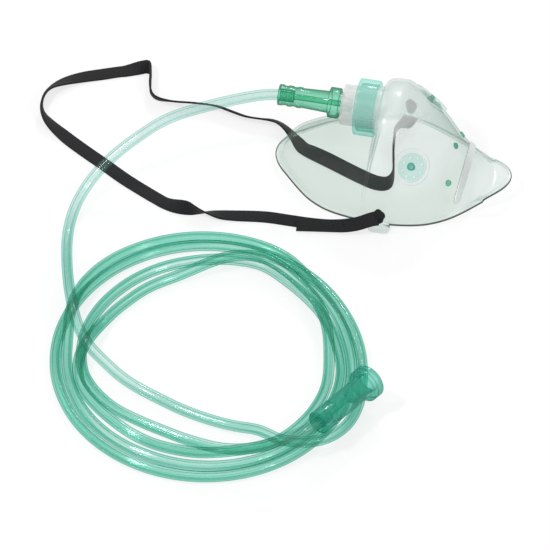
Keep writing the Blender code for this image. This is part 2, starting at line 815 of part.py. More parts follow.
def make_strap(parts):
    """A flat band swept along its route, each point with its own roll."""
    rows = smooth_through(STRAP_ROUTE, STRAP_SPACING)
    half_width, half_thick = STRAP_WIDTH / 2, STRAP_THICK / 2
    points = []
    for n, (x, y, low, roll) in enumerate(rows):
        before, after = rows[max(n - 1, 0)], rows[min(n + 1, len(rows) - 1)]
        way = Vector((after[0] - before[0], after[1] - before[1], 0)).normalized()
        turn = math.radians(roll)
        side = Vector((-way.y, way.x, 0)) * math.cos(turn) + Vector((0, 0, math.sin(turn)))
        face = way.cross(side)
        height = half_width * abs(math.sin(turn)) + half_thick * abs(math.cos(turn))
        middle = Vector((x, y, low + height))
        for a, b in ((-1, -1), (1, -1), (1, 1), (-1, 1)):
            points.append(middle + side * half_width * a + face * half_thick * b)
    faces = [(0, 1, 2, 3), tuple(len(points) - 4 + k for k in range(4))]
    for n in range(len(rows) - 1):
        for k in range(4):
            a, b = n * 4 + k, n * 4 + (k + 1) % 4
            faces.append((a, b, b + 4, a + 4))
    return add_object("head_strap", mesh_from("head_strap", points, faces), parts, "black")


def make_strap_knots(parts):
    """Each knot sits on its ear, with the strap's tail down through the slot."""
    made = []
    for label, side, edge, lift in ear_places():
        low = lift + EAR_THICK + FIT_GAP
        work = bmesh.new()
        size = Matrix.Diagonal((KNOT_LENGTH, KNOT_WIDTH, KNOT_HEIGHT, 1))
        bmesh.ops.create_cube(work, size=1, matrix=size)
        bmesh.ops.bevel(
            work,
            geom=list(work.edges),
            offset=KNOT_ROUND,
            offset_type="OFFSET",
            segments=2,
            profile=0.5,
            affect="EDGES",
        )
        inside = edge + KNOT_WIDTH / 2 - LIP_WIDTH + FIT_GAP
        bmesh.ops.translate(
            work, vec=(EAR_X, side * inside, low + KNOT_HEIGHT / 2), verts=work.verts
        )
        mesh = bpy.data.meshes.new(f"strap_knot_{label}")
        work.to_mesh(mesh)
        work.free()
        made.append(add_object(f"strap_knot_{label}", mesh, parts, "black"))
    return made


def main():
    clear_scene()
    parts = new_collection(OBJECT_NAME)
    cutters = new_collection("cutters")
    cutters.hide_render = True
    make_mask_shell(parts, cutters)
    make_nose_clip(parts)
    make_port_pieces(parts)
    make_mask_connector(parts)
    make_supply_connector(parts)
    make_tubes(parts)
    make_coil(parts)
    make_strap(parts)
    make_strap_knots(parts)


main()
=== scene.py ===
# Oxygen face mask: the finish of its clear and tinted plastics, the coiled supply tube and the head strap.

import bmesh
import bpy
import numpy as np
from math import asin, copysign, cos, hypot, pi, radians, sin, sqrt
from mathutils import Matrix, Vector


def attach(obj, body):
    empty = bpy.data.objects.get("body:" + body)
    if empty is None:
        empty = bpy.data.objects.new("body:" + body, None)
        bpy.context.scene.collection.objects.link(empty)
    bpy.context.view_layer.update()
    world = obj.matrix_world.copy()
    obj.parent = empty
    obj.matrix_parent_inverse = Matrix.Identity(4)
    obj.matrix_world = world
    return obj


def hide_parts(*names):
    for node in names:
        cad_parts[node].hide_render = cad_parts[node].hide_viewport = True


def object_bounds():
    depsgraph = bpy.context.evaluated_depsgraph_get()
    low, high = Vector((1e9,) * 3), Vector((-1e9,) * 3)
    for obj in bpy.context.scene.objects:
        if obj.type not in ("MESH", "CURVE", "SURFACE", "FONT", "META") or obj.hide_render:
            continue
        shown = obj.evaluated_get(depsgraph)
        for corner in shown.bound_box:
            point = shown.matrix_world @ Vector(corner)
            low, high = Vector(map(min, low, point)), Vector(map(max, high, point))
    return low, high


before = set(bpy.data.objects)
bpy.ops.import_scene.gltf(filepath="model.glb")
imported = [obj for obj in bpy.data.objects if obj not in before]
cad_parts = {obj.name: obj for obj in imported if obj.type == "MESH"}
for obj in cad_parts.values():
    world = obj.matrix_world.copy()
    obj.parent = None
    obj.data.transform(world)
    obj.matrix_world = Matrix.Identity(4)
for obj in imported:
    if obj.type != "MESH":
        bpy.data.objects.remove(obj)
cadLow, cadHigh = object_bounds()
scene = bpy.context.scene
scene.view_settings.view_transform = "Standard"
scene.cycles.transparent_max_bounces = 64  # up to four strands of tube lie over each other
print("frame loaded")


# Camera, at the photo's viewing angle
photo = dict(
    pixels=550,
    pixelsPerMetre=1870.0,
    originPixel=(394.1, 172.7),  # where the middle of the rim lies
    azimuth=12.0,
    elevation=46.0,
    lens=1000.0,  # long, so that near and far pieces keep one scale
    sensor=36.0,
    exactDepth=0.04,  # the plane towards the camera where the scale is exact
    clipEnd=100.0,
)


def makeCamera():
    azimuth, elevation = radians(photo["azimuth"]), radians(photo["elevation"])
    flat = cos(elevation)
    back = Vector((sin(azimuth) * flat, -cos(azimuth) * flat, sin(elevation)))
    right = Vector((cos(azimuth), sin(azimuth), 0))
    up = back.cross(right)
    middle = photo["pixels"] / 2
    across = (middle - photo["originPixel"][0]) / photo["pixelsPerMetre"]
    above = (photo["originPixel"][1] - middle) / photo["pixelsPerMetre"]
    width = photo["pixels"] / photo["pixelsPerMetre"]
    distance = width * photo["lens"] / photo["sensor"]
    data = bpy.data.cameras.new("camera")
    data.lens = photo["lens"]
    data.sensor_width = photo["sensor"]
    data.clip_end = photo["clipEnd"]
    camera = bpy.data.objects.new("camera", data)
    scene.collection.objects.link(camera)
    camera.location = right * across + up * above + back * (photo["exactDepth"] + distance)
    camera.rotation_mode = "QUATERNION"
    camera.rotation_quaternion = back.to_track_quat("Z", "Y")
    scene.camera = camera


makeCamera()
print("camera placed")


# Helpers for node trees
def feed(tree, socket, value):
    if isinstance(value, bpy.types.NodeSocket):
        tree.links.new(value, socket)
    else:
        socket.default_value = value


def addNode(tree, kind, inputs=None, **values):
    made = tree.nodes.new(kind)
    for key, value in values.items():
        setattr(made, key, value)
    for key, value in (inputs or {}).items():
        feed(tree, made.inputs[key], value)
    return made


def output(tree, kind, inputs=None, **values):
    return addNode(tree, kind, inputs, **values).outputs[0]


def calc(tree, operation, *values, kind="ShaderNodeMath"):
    return output(tree, kind, dict(enumerate(values)), operation=operation)


def ramp(tree, value, low, high):
    inputs = {"Value": value, "From Min": low, "From Max": high}
    return output(tree, "ShaderNodeMapRange", inputs, interpolation_type="SMOOTHSTEP")


def mixColour(tree, factor, first, second):
    inputs = {0: factor, 6: first, 7: second}  # the colour sockets of a Mix node
    return addNode(tree, "ShaderNodeMix", inputs, data_type="RGBA").outputs[2]


def mixShader(tree, factor, first, second):
    return output(tree, "ShaderNodeMixShader", {0: factor, 1: first, 2: second})


def noise(tree, vector, scale, detail=3.0):
    return output(tree, "ShaderNodeTexNoise", {"Vector": vector, "Scale": scale, "Detail": detail})


def bump(tree, height, depth):
    return output(tree, "ShaderNodeBump", {"Height": height, "Distance": depth})


def attribute(tree, name, part="Fac"):
    return addNode(tree, "ShaderNodeAttribute", attribute_name=name).outputs[part]


def objectPlace(tree):
    return addNode(tree, "ShaderNodeTexCoord").outputs["Object"]


def newMaterial(name):
    material = bpy.data.materials.new(name)
    material.use_nodes = True
    material.node_tree.nodes.clear()
    return material, material.node_tree


def principled(tree, colour, roughness, inputs=None):
    inputs = {"Base Color": colour, "Roughness": roughness, **(inputs or {})}
    return output(tree, "ShaderNodeBsdfPrincipled", inputs)


def finishTree(tree, shader):
    addNode(tree, "ShaderNodeOutputMaterial", {"Surface": shader})


def rgb(red, green, blue):
    return (red, green, blue, 1.0)


# Clear and tinted plastics: light that goes straight through takes the tint, more of it at a slant
plastic = dict(
    cloudDetail=2.0,
    cloudHaze=(0.6, 0.7),  # gain and base of the haze by the cloud
    glossPower=3.0,
    # detail of the painted highlight streaks along the tube
    paintedHighlightDetail=1.0,
    drawnDetail=2.0,
)


def clearPlastic(name, look, drawnAndHighlighted=False, edged=False):
    material, tree = newMaterial(name)
    place = objectPlace(tree)
    cloud = noise(tree, place, look["cloud"], plastic["cloudDetail"])
    face, rim = look["face"], look["rim"]
    if edged:  # the wall is thinner and clearer towards the dome and the nose
        x, _, z = addNode(tree, "ShaderNodeSeparateXYZ", {0: place}).outputs
        clear = calc(tree, "MAXIMUM", ramp(tree, z, *look["clears"]), ramp(tree, x, *look["clearsNose"]))
        face = mixColour(tree, clear, face, look["faceHigh"])
    if drawnAndHighlighted:  # paler at both ends of the tube, with fine lines along it, and with painted highlights: light streaks along it that stand in for lamp glints
        run, ring = attribute(tree, "along"), attribute(tree, "ring", "Vector")
        deep = ramp(tree, run, *look["clears"])
        deep = calc(tree, "SUBTRACT", deep, ramp(tree, run, *look["clearsEnd"]))
        face = mixColour(tree, deep, look["faceHigh"], face)
        rim = mixColour(tree, deep, look["rimHigh"], rim)
        # painted highlight: bands of noise along the tube fade its tint towards white, where lamps would
        # glint on it
        slow = output(tree, "ShaderNodeCombineXYZ", {"Z": calc(tree, "MULTIPLY", run, look["paintedHighlightTurn"])})
        lines = calc(tree, "ADD", ring, slow, kind="ShaderNodeVectorMath")
        paintedHighlight = noise(tree, lines, look["paintedHighlightScale"], plastic["paintedHighlightDetail"])
        paintedHighlight = ramp(tree, paintedHighlight, *look["paintedHighlightRange"])
        face = mixColour(tree, paintedHighlight, face, look["paintedHighlight"])
        grain = noise(tree, ring, look["grain"], plastic["drawnDetail"])
    else:
        grain = noise(tree, place, look["grain"])
    normal = bump(tree, grain, look["grainDepth"])
    facing = addNode(tree, "ShaderNodeLayerWeight").outputs["Facing"]
    slant = calc(tree, "POWER", facing, look["edge"])
    tint = mixColour(tree, slant, face, rim)
    if edged:  # light is trapped in a moulded edge, which looks dark
        tint = mixColour(tree, attribute(tree, "lipEdge"), tint, look["edgeTint"])
    through = output(tree, "ShaderNodeBsdfTransparent", {"Color": tint})
    colour = mixColour(tree, cloud, look["body"], look["bodyDark"])
    body = principled(tree, colour, look["roughness"], {"Normal": normal})
    haze = calc(tree, "MULTIPLY_ADD", slant, look["hazeRim"], look["haze"])
    haze = calc(tree, "MULTIPLY", haze, calc(tree, "MULTIPLY_ADD", cloud, *plastic["cloudHaze"]))
    if edged:  # the dome's top looks milky
        haze = calc(tree, "MULTIPLY_ADD", ramp(tree, z, *look["milky"]), look["hazeHigh"], haze)
    gloss = output(
        tree, "ShaderNodeBsdfAnisotropic", {"Roughness": look["glossRoughness"], "Normal": normal}
    )
    shine = calc(tree, "POWER", facing, plastic["glossPower"])
    shine = calc(tree, "MULTIPLY_ADD", shine, look["glossRim"], look["gloss"])
    finishTree(tree, mixShader(tree, shine, mixShader(tree, haze, through, body), gloss))
    return material


# Helpers for meshes
def metres(rows, units=1000):
    return (np.array(rows) / units).round(7)


def addPiece(name, mesh, *materials):
    made = bpy.data.objects.new(name, mesh)
    scene.collection.objects.link(made)
    for material in materials:
        mesh.materials.append(material)
    return made


def rawMesh(name, points, faces=(), edges=()):
    mesh = bpy.data.meshes.new(name)
    mesh.from_pydata([tuple(p) for p in points], edges, faces)
    return mesh


def faceOut(mesh, sharpAngle=40.0, merge=True):
    work = bmesh.new()
    work.from_mesh(mesh)
    if merge:
        bmesh.ops.remove_doubles(work, verts=work.verts, dist=1e-6)
        bmesh.ops.delete(work, geom=[e for e in work.edges if not e.link_faces], context="EDGES")
    bmesh.ops.recalc_face_normals(work, faces=work.faces)
    work.to_mesh(mesh)
    work.free()
    soften(mesh, sharpAngle)
    return mesh


def soften(mesh, sharpAngle=40.0):
    mesh.shade_smooth()
    mesh.set_sharp_from_angle(angle=radians(sharpAngle))


def baked(made, name=None):
    graph = bpy.context.evaluated_depsgraph_get()
    mesh = bpy.data.meshes.new_from_object(
        made.evaluated_get(graph), preserve_all_data_layers=True, depsgraph=graph
    )
    mesh.name = name or made.name
    bpy.data.objects.remove(made, do_unlink=True)
    return mesh


# Rounds the corners, but keeps a flat middle on short sides
def rounded(outline, radius, steps=3, most=0.45):
    corners = [Vector(p) for p in outline]
    found = []
    for before, corner, after in zip(corners[-1:] + corners[:-1], corners, corners[1:] + corners[:1]):
        if corner[1] == 0:  # on the axis
            found.append(corner)
            continue
        back, on = before - corner, after - corner
        size = min(radius, back.length * most, on.length * most)
        first, last = corner + back.normalized() * size, corner + on.normalized() * size
        for step in range(steps + 1):
            t = step / steps
            found.append(first * (1 - t) ** 2 + corner * 2 * t * (1 - t) + last * t**2)
    return found


# The outer side of a turned piece: sections of a length and a radius, or a radius at either end
def stepped(x, sections, way=1):
    found = []
    for length, first, *last in sections:
        found += [(x, first), (x + way * length, *(last or [first]))]
        x += way * length
    return found


def turnedMesh(name, outline, edge, place=Matrix.Identity(4), sides=96, sharpAngle=50.0):
    ring = rounded(outline, edge)
    count = len(ring)
    points, faces = [], []
    for n in range(sides):
        angle = 2 * pi * n / sides
        for k, (x, radius) in enumerate(ring):
            points.append(place @ Vector((x, radius * cos(angle), radius * sin(angle))))
            row, nextRow, nextK = n * count, (n + 1) % sides * count, (k + 1) % count
            faces.append((row + k, row + nextK, nextRow + nextK, nextRow + k))
    return faceOut(rawMesh(name, points, faces), sharpAngle)


def along(direction):
    return Vector(direction).normalized().to_track_quat("X", "Z").to_matrix().to_4x4()


def between(a, b, c, d, t):
    straight = (c - a) * t + (2 * a - 5 * b + 4 * c - d) * t**2
    return b + 0.5 * (straight + (3 * b - a - 3 * c + d) * t**3)


def smoothThrough(points, spacing):
    rows = np.array(points, float)
    rows = np.vstack([2 * rows[0] - rows[1], rows, 2 * rows[-1] - rows[-2]])
    found = []
    for a, b, c, d in zip(rows, rows[1:], rows[2:], rows[3:]):
        steps = max(1, round(np.linalg.norm((c - b)[:3]) / spacing))
        found += [between(a, b, c, d, step / steps) for step in range(steps)]
    return np.array(found + [rows[-2]])


def lengthOf(points):
    return float(np.sum(np.linalg.norm(np.diff(np.array(points)[:, :3], axis=0), axis=1)))


def newNodes(name, values):
    tree = bpy.data.node_groups.new(name, "GeometryNodeTree")
    kinds = {label: "Int" if isinstance(value, int) else "Float" for label, value in values.items()}
    for label, kind in {"Geometry": "Geometry", **kinds}.items():
        tree.interface.new_socket(name=label, in_out="INPUT", socket_type="NodeSocket" + kind)
    tree.interface.new_socket(name="Geometry", in_out="OUTPUT", socket_type="NodeSocketGeometry")
    return tree, addNode(tree, "NodeGroupInput").outputs, addNode(tree, "NodeGroupOutput")


def modify(made, kind, **values):
    step = made.modifiers.new(kind.lower(), kind)
    for key, value in values.items():
        setattr(step, key, value)
    return step


def applyNodes(made, tree, values):
    modifier = modify(made, "NODES", node_group=tree)
    for item in tree.interface.items_tree:
        if item.in_out == "INPUT" and item.name in values:
            modifier[item.identifier] = values[item.name]
    return baked(made)


def endNodes(tree, geometry, material, end):
    real = output(tree, "GeometryNodeRealizeInstances", {0: geometry})
    painted = output(tree, "GeometryNodeSetMaterial", {"Geometry": real, "Material": material})
    tree.links.new(painted, end.inputs[0])


def unitCircle(tree, sides):
    inputs = {"Resolution": sides, "Radius": 1.0}
    return output(tree, "GeometryNodeCurvePrimitiveCircle", inputs, mode="RADIUS")


def keepNamed(tree, geometry, name, value, kind="FLOAT"):
    inputs = {"Geometry": geometry, "Name": name, "Value": value}
    return output(tree, "GeometryNodeStoreNamedAttribute", inputs, data_type=kind, domain="POINT")


# Supply tube: a lead from the mask, four turns of coil and a tail up to the supply connector
tube = dict(
    radius=0.0030,
    spacing=0.0026,
    push=0.0080,  # into each connector
    exit=(-0.0629, 0.0, 0.0470),
    coilCentre=(-0.0686, -0.1596),
    coilTurn=12.0,
    coilOval=1.06,
    coilStep=4,  # degrees between the points that are kept
    window=13,  # degrees over which the coil's rows are smoothed
    smoothings=6,
    supplyEnd=(0.0022, -0.2066, 0.0187),
    supplyAim=(0.455, 0.887, -0.065),
    tailStraight=0.0040,
)

tubeInputs = {
    "Tube Radius": tube["radius"],
    "Lumen Radius": 0.00185,
    "Lobe Depth": 0.00028,
    "Lobes": 5,
    "Sides": 20,
    "Inset": 0.001,  # of the lumen's ends
}

# The lead's route in millimetres, from the mask to the coil
tubeLead = [
    (-73.0, -1.4, 45.8), (-89.4, -6.5, 42.8), (-103.6, -11.8, 39.8), (-116.2, -16.9, 36.5),
    (-125.4, -22.2, 33.0), (-132.9, -28.2, 29.0), (-140.9, -34.3, 24.2), (-147.3, -40.2, 19.5),
    (-153.6, -47.5, 14.0), (-158.1, -56.0, 9.2), (-160.8, -65.5, 5.6), (-161.2, -76.9, 4.0),
    (-159.8, -89.2, 4.3), (-156.6, -104.2, 6.8), (-152.1, -121.7, 11.2), (-146.2, -140.8, 15.5),
    (-139.0, -158.9, 16.1), (-130.0, -172.9, 15.6), (-124.3, -176.8, 13.4), (-119.1, -179.2, 10.6),
    (-110.2, -183.5, 6.4), (-99.2, -187.7, 3.8), (-87.4, -192.2, 3.2), (-75.5, -197.0, 3.2),
    (-64.8, -200.2, 3.2), (-51.6, -203.2, 3.6), (-38.9, -205.7, 5.2), (-29.8, -208.2, 8.4),
]

# The coil's route: how far it has turned in degrees, then its radius and height in millimetres
tubeCoil = [
    # over the other turns to the outside
    (-57, 71.5, 9.7), (-51, 80.8, 9.6), (-45, 86.3, 9.3), (-38, 89.2, 8.3), (-30, 89.0, 6.8),
    (-21, 87.0, 5.2), (-10, 84.0, 4.0), (8, 81.6, 3.2), (25, 80.2, 3.1), (300, 80.2, 3.1),
    # second turn, which climbs on the first at the far side
    (345, 79.3, 3.3), (354, 77.9, 6.2), (368, 75.7, 6.3), (385, 74.9, 6.3), (396, 75.0, 6.5),
    (404, 75.5, 7.6), (414, 78.3, 9.2), (425, 79.6, 9.3), (455, 80.6, 9.3), (490, 82.0, 9.2),
    (505, 81.0, 9.3), (515, 79.0, 9.3), (520, 77.3, 8.8), (526, 75.3, 7.0), (533, 74.2, 5.0),
    (545, 74.1, 3.1), (570, 73.6, 3.1), (605, 72.4, 3.1), (640, 73.4, 3.1), (660, 74.1, 3.1),
    # third turn, slack at the near side
    (710, 72.9, 3.1), (728, 70.3, 3.1), (745, 69.5, 3.1), (760, 69.0, 3.1), (774, 70.0, 3.1),
    (785, 73.0, 3.1), (800, 71.5, 3.1), (815, 69.5, 3.1), (856, 67.5, 3.1), (880, 67.3, 3.1),
    (908, 66.0, 3.1), (928, 60.5, 3.1), (948, 54.8, 3.1), (966, 53.2, 3.1), (984, 56.4, 3.1),
    (1003, 63.2, 3.1), (1020, 67.6, 3.1),
    # fourth turn, on the third at the right and inside it at the far side
    (1066, 66.4, 3.1), (1079, 65.2, 5.0), (1088, 65.8, 7.6), (1098, 67.0, 9.1), (1110, 68.6, 9.5),
    (1124, 69.0, 9.4), (1134, 71.0, 9.4), (1145, 73.0, 9.4), (1153, 71.0, 9.4), (1161, 67.5, 9.2),
    (1169, 64.3, 6.9), (1177, 62.0, 4.4), (1186, 60.0, 3.2), (1216, 58.6, 3.1), (1232, 60.2, 3.1),
    (1240, 61.0, 5.0), (1248, 62.4, 7.6), (1256, 65.0, 9.0), (1266, 68.5, 9.4), (1278, 70.5, 8.7),
    (1300, 65.6, 5.2), (1320, 64.4, 3.6), (1335, 65.8, 5.7), (1343, 68.3, 8.4), (1350, 71.8, 12.0),
    (1358, 74.8, 15.3),
]

# The tail's route in millimetres, up to the supply connector
tubeTail = [
    (-42.1, -234.2, 15.5), (-29.1, -229.1, 15.7), (-14.7, -221.3, 16.8),
]


def coilPoints():
    turned, radii, heights = (np.array(column, float) for column in zip(*tubeCoil))
    angles = np.arange(turned[0], turned[-1] + 1)
    window = np.hanning(tube["window"])
    window /= window.sum()
    smooth = []
    for values in (radii, heights):
        fine = np.pad(np.interp(angles, turned, values), len(window) // 2, mode="edge")
        smooth.append(np.convolve(fine, window, mode="valid"))
    lay = radians(tube["coilTurn"])
    centre = Vector((*tube["coilCentre"], 0.0))
    found = []
    for angle, radius, height in list(zip(angles, *smooth))[:: tube["coilStep"]]:
        theta = radians(angle)
        spot = Vector((cos(theta), tube["coilOval"] * sin(theta), 0)) * radius / 1000
        spot.rotate(Matrix.Rotation(lay, 3, "Z"))
        found.append(tuple(centre + spot + Vector((0, 0, height / 1000))))
    return found


def tubePath():
    start, aim = Vector(tube["exit"]), Vector(tube["supplyAim"]).normalized()
    end = Vector(tube["supplyEnd"])
    points = [tuple(start + Vector((tube["push"], 0, 0))), tuple(start)]
    points += metres(tubeLead).tolist() + coilPoints()[:-1] + metres(tubeTail).tolist()
    points += [tuple(end - aim * tube["tailStraight"]), tuple(end + aim * tube["push"])]
    path = smoothThrough(points, tube["spacing"])
    for _ in range(tube["smoothings"]):
        path[1:-1] = path[1:-1] * 0.5 + (path[:-2] + path[2:]) * 0.25
    return path


def tubeNodes(material):
    tree, start, end = newNodes("tubeNodes", tubeInputs)
    line = output(tree, "GeometryNodeMeshToCurve", {0: start["Geometry"]})
    measure = addNode(tree, "GeometryNodeSplineParameter").outputs
    place = output(tree, "GeometryNodeInputPosition")
    route = keepNamed(tree, line, "along", measure["Length"])
    ring = keepNamed(tree, unitCircle(tree, start["Sides"]), "ring", place, "FLOAT_VECTOR")

    def wall(line, radius):
        scaled = output(tree, "ShaderNodeVectorMath", {0: place, "Scale": radius}, operation="SCALE")
        section = output(tree, "GeometryNodeSetPosition", {"Geometry": ring, "Position": scaled})
        inputs = {"Curve": line, "Profile Curve": section, "Fill Caps": True}
        return output(tree, "GeometryNodeCurveToMesh", inputs)

    angle = calc(tree, "MULTIPLY", measure["Factor"], 2 * pi)
    lobe = calc(tree, "COSINE", calc(tree, "MULTIPLY", angle, start["Lobes"]))
    lobed = calc(tree, "MULTIPLY_ADD", lobe, start["Lobe Depth"], start["Lumen Radius"])
    length = output(tree, "GeometryNodeCurveLength", {0: route})
    stops = {"Start": start["Inset"], "End": calc(tree, "SUBTRACT", length, start["Inset"])}
    trim = addNode(tree, "GeometryNodeTrimCurve", {"Curve": route}, mode="LENGTH")
    for name, stop in stops.items():
        feed(tree, [s for s in trim.inputs if s.name == name and s.enabled][-1], stop)
    lumen = output(tree, "GeometryNodeFlipFaces", {0: wall(trim.outputs[0], lobed)})
    joined = addNode(tree, "GeometryNodeJoinGeometry")
    for part in (wall(route, start["Tube Radius"]), lumen):
        tree.links.new(part, joined.inputs[0])
    endNodes(tree, joined.outputs[0], material, end)
    return tree


tubeLook = dict(
    face=rgb(0.73, 0.925, 0.875),
    faceHigh=rgb(0.91, 0.958, 0.948),
    clears=(0.05, 0.60),  # metres along the tube
    clearsEnd=(2.265, 2.290),  # and again at the supply connector
    rim=rgb(0.12, 0.58, 0.46),
    rimHigh=rgb(0.46, 0.75, 0.69),
    # painted highlight streaks along the tube: their colour, noise scale, turn along the tube and noise
    # range
    paintedHighlight=rgb(0.955, 0.99, 0.985),
    paintedHighlightScale=1.5,
    paintedHighlightTurn=5.0,
    paintedHighlightRange=(0.50, 0.60),
    edge=1.35,
    body=rgb(0.30, 0.78, 0.66),
    bodyDark=rgb(0.20, 0.66, 0.54),
    haze=0.015,
    hazeRim=0.03,
    roughness=0.35,
    gloss=0.022,
    glossRim=0.015,
    glossRoughness=0.10,
    grain=4.0,
    grainDepth=0.00008,
    cloud=45.0,
)


def makeTube():
    material = clearPlastic("tubeVinyl", tubeLook, drawnAndHighlighted=True)
    path = tubePath()
    line = rawMesh("tubeLine", path, edges=[(n, n + 1) for n in range(len(path) - 1)])
    mesh = applyNodes(addPiece("tubeLine", line), tubeNodes(material), tubeInputs)
    soften(mesh)
    return addPiece("oxygenTube", mesh), path


oxygenTube, tubeRoute = makeTube()
print(f"tube made, {lengthOf(tubeRoute):.3f} m, {len(oxygenTube.data.polygons)} faces")


# Head strap: a flat elastic band from the near ear round to the far one
strap = dict(
    width=0.0080,
    thick=0.0011,
    edge=0.00045,
    spacing=0.0020,
    sharp=60.0,  # edges over this many degrees stay sharp
)

# x, y and height of the lower edge in millimetres, and roll in degrees
strapLine = [
    (1.2, -43.0, 5.6, -48), (-3.4, -43.4, 4.2, -42), (-9.5, -44.2, 2.2, -22), (-17.4, -44.6, 0.5, -5),
    (-26.7, -46.0, 0.1, 0), (-36.9, -46.8, 0.1, 0), (-47.4, -46.9, 0.1, 0), (-61.4, -47.2, 0.1, 0),
    (-77.4, -50.0, 0.1, 5), (-86.4, -51.8, 0.1, 20), (-95.4, -53.2, 0.1, 65), (-104.4, -51.9, 0.1, 130),
    (-114.4, -48.5, 0.1, 176), (-125.2, -43.2, 0.1, 180), (-139.5, -35.4, 0.1, 180),
    (-153.0, -26.8, 0.1, 180), (-165.6, -19.0, 0.1, 180), (-178.7, -10.4, 0.1, 185),
    (-189.2, -2.6, 0.1, 215), (-194.8, 6.3, 0.1, 265), (-194.9, 17.4, 0.1, 300), (-188.9, 27.4, 0.1, 335),
    (-179.5, 34.8, 0.1, 355), (-169.0, 39.8, 0.1, 360), (-158.1, 44.4, 0.1, 360), (-149.4, 47.6, 0.1, 385),
    (-144.0, 46.2, 0.1, 445), (-142.4, 40.0, 0.1, 450), (-140.4, 31.0, 0.1, 455), (-136.0, 25.6, 0.1, 480),
    (-127.0, 25.2, 0.1, 494), (-114.9, 26.4, 0.1, 494), (-103.4, 26.6, 0.1, 494), (-94.6, 24.4, 0.1, 494),
    (-86.1, 22.2, 0.1, 494), (-78.5, 22.0, 0.1, 494), (-71.8, 22.4, 0.1, 498), (-66.6, 20.8, 0.1, 496),
    (-61.4, 17.0, 0.1, 499), (-56.2, 12.2, 0.1, 514), (-49.0, 6.2, 0.1, 550), (-33.6, -1.6, 0.1, 582),
    (-18.0, -8.4, 0.1, 584), (-6.8, -12.4, 0.1, 590), (-0.8, -11.8, 0.1, 612), (0.9, -6.2, 0.1, 628),
    (-0.6, 3.0, 0.1, 630), (-2.8, 13.0, 0.1, 630), (-4.0, 22.0, 0.1, 634), (-3.9, 28.5, 0.1, 656),
    (-2.2, 34.2, 0.1, 708), (-0.2, 39.4, 0.1, 720), (0.6, 43.2, 0.1, 720),
]

# The short free end past the near knot, which lies on the band
strapTailLine = [
    (0.6, -44.2, 7.2, -40), (-4.0, -45.0, 5.6, -34), (-10.0, -46.1, 3.4, -16), (-17.0, -47.0, 1.8, -4),
    (-26.0, -48.2, 1.4, 0), (-36.0, -49.8, 1.3, -2), (-42.5, -50.6, 0.9, -5),
]


def makeBand(name, line, material):
    rows = smoothThrough(metres(line, (1000, 1000, 1000, 1)), strap["spacing"])
    halfWidth, halfThick = strap["width"] / 2, strap["thick"] / 2
    corners = [(x * halfWidth, y * halfThick) for x, y in ((-1, -1), (1, -1), (1, 1), (-1, 1))]
    section = rounded(corners, strap["edge"])
    girth = np.cumsum([0.0] + [(b - a).length for a, b in zip(section, section[1:] + section[:1])])
    lengths = np.concatenate([[0.0], np.cumsum(np.linalg.norm(np.diff(rows[:, :2], axis=0), axis=1))])
    points, path = [], []
    for n, (x, y, low, roll) in enumerate(rows):
        way = rows[min(n + 1, len(rows) - 1)] - rows[max(n - 1, 0)]
        way = Vector((way[0], way[1], 0)).normalized()
        turn = radians(roll)
        side = Vector((-way.y, way.x, 0)) * cos(turn) + Vector((0, 0, sin(turn)))
        face = way.cross(side)
        height = halfWidth * abs(sin(turn)) + halfThick * abs(cos(turn))
        middle = Vector((x, y, low + height))
        path.append(tuple(middle))
        points += [middle + side * a + face * b for a, b in section]
    count = len(section)
    faces, spots = [], []
    for n in range(len(rows) - 1):
        for k in range(count):
            a, b = n * count + k, n * count + (k + 1) % count
            faces.append((a, b, b + count, a + count))
            spots.append([(lengths[n + i], girth[k + j]) for i, j in ((0, 0), (0, 1), (1, 1), (1, 0))])
    for first in (0, len(points) - count):
        faces.append(tuple(range(first, first + count)))
        spots.append([(lengths[-1] if first else 0.0, girth[k]) for k in range(count)])
    mesh = rawMesh(name, points, faces)
    layer = mesh.uv_layers.new(name="weave")
    layer.data.foreach_set("uv", [v for face in spots for spot in face for v in spot])
    return addPiece(name, faceOut(mesh, strap["sharp"], merge=False), material), path


strapLook = dict(
    thread=rgb(0.0125, 0.0125, 0.0145),
    gap=rgb(0.004, 0.004, 0.005),
    ribs=1400.0,  # threads to the metre, across the band
    wales=1100.0,  # and along it
    depth=0.00012,
    roughness=0.78,
    sheen=0.04,
    specular=0.3,
    fuzz=(900.0, 0.35),  # scale and share
    walesShare=0.6,
    knotRibs=260.0,
    knotDistortion=3.0,
)


def finishWeave(tree, weave):
    inputs = {
        "Sheen Weight": strapLook["sheen"],
        "Specular IOR Level": strapLook["specular"],
        "Normal": bump(tree, weave, strapLook["depth"]),
    }
    colour = mixColour(tree, weave, strapLook["gap"], strapLook["thread"])
    finishTree(tree, principled(tree, colour, strapLook["roughness"], inputs))


def strapWeave():
    material, tree = newMaterial("strapWeave")
    spot = output(tree, "ShaderNodeUVMap", uv_map="weave")
    length, width, _ = addNode(tree, "ShaderNodeSeparateXYZ", {0: spot}).outputs
    ribs, wales = (
        calc(tree, "ABSOLUTE", calc(tree, "SINE", calc(tree, "MULTIPLY", run, strapLook[count] * pi)))
        for run, count in ((length, "ribs"), (width, "wales"))
    )
    share = strapLook["walesShare"]
    weave = calc(tree, "MULTIPLY", ribs, calc(tree, "MULTIPLY_ADD", wales, share, 1 - share))
    scale, strength = strapLook["fuzz"]
    weave = calc(tree, "MULTIPLY_ADD", noise(tree, objectPlace(tree), scale), strength, weave)
    finishWeave(tree, weave)
    return material


weave = strapWeave()
headStrap, strapRoute = makeBand("headStrap", strapLine, weave)
strapTail, _ = makeBand("strapTail", strapTailLine, weave)
print(f"strap made, {lengthOf(strapRoute):.3f} m")


# Strap knots: a knotted band drawn as one closed three-lobed loop
knot = dict(
    size=(0.00150, 0.00285, 0.00125),  # x, z and y reach of the loop
    lobes=(0.42, 0.62),  # how far they swing out, and from side to side
    points=120,
    centre=(0.0010, 0.0423, 0.0094),
    sharp=70.0,
)
bothSides = (("Near", -1), ("Far", 1))

# The pulled-in band
knotInputs = {"Half Width": 0.00195, "Half Thickness": 0.00115, "Sides": 14}


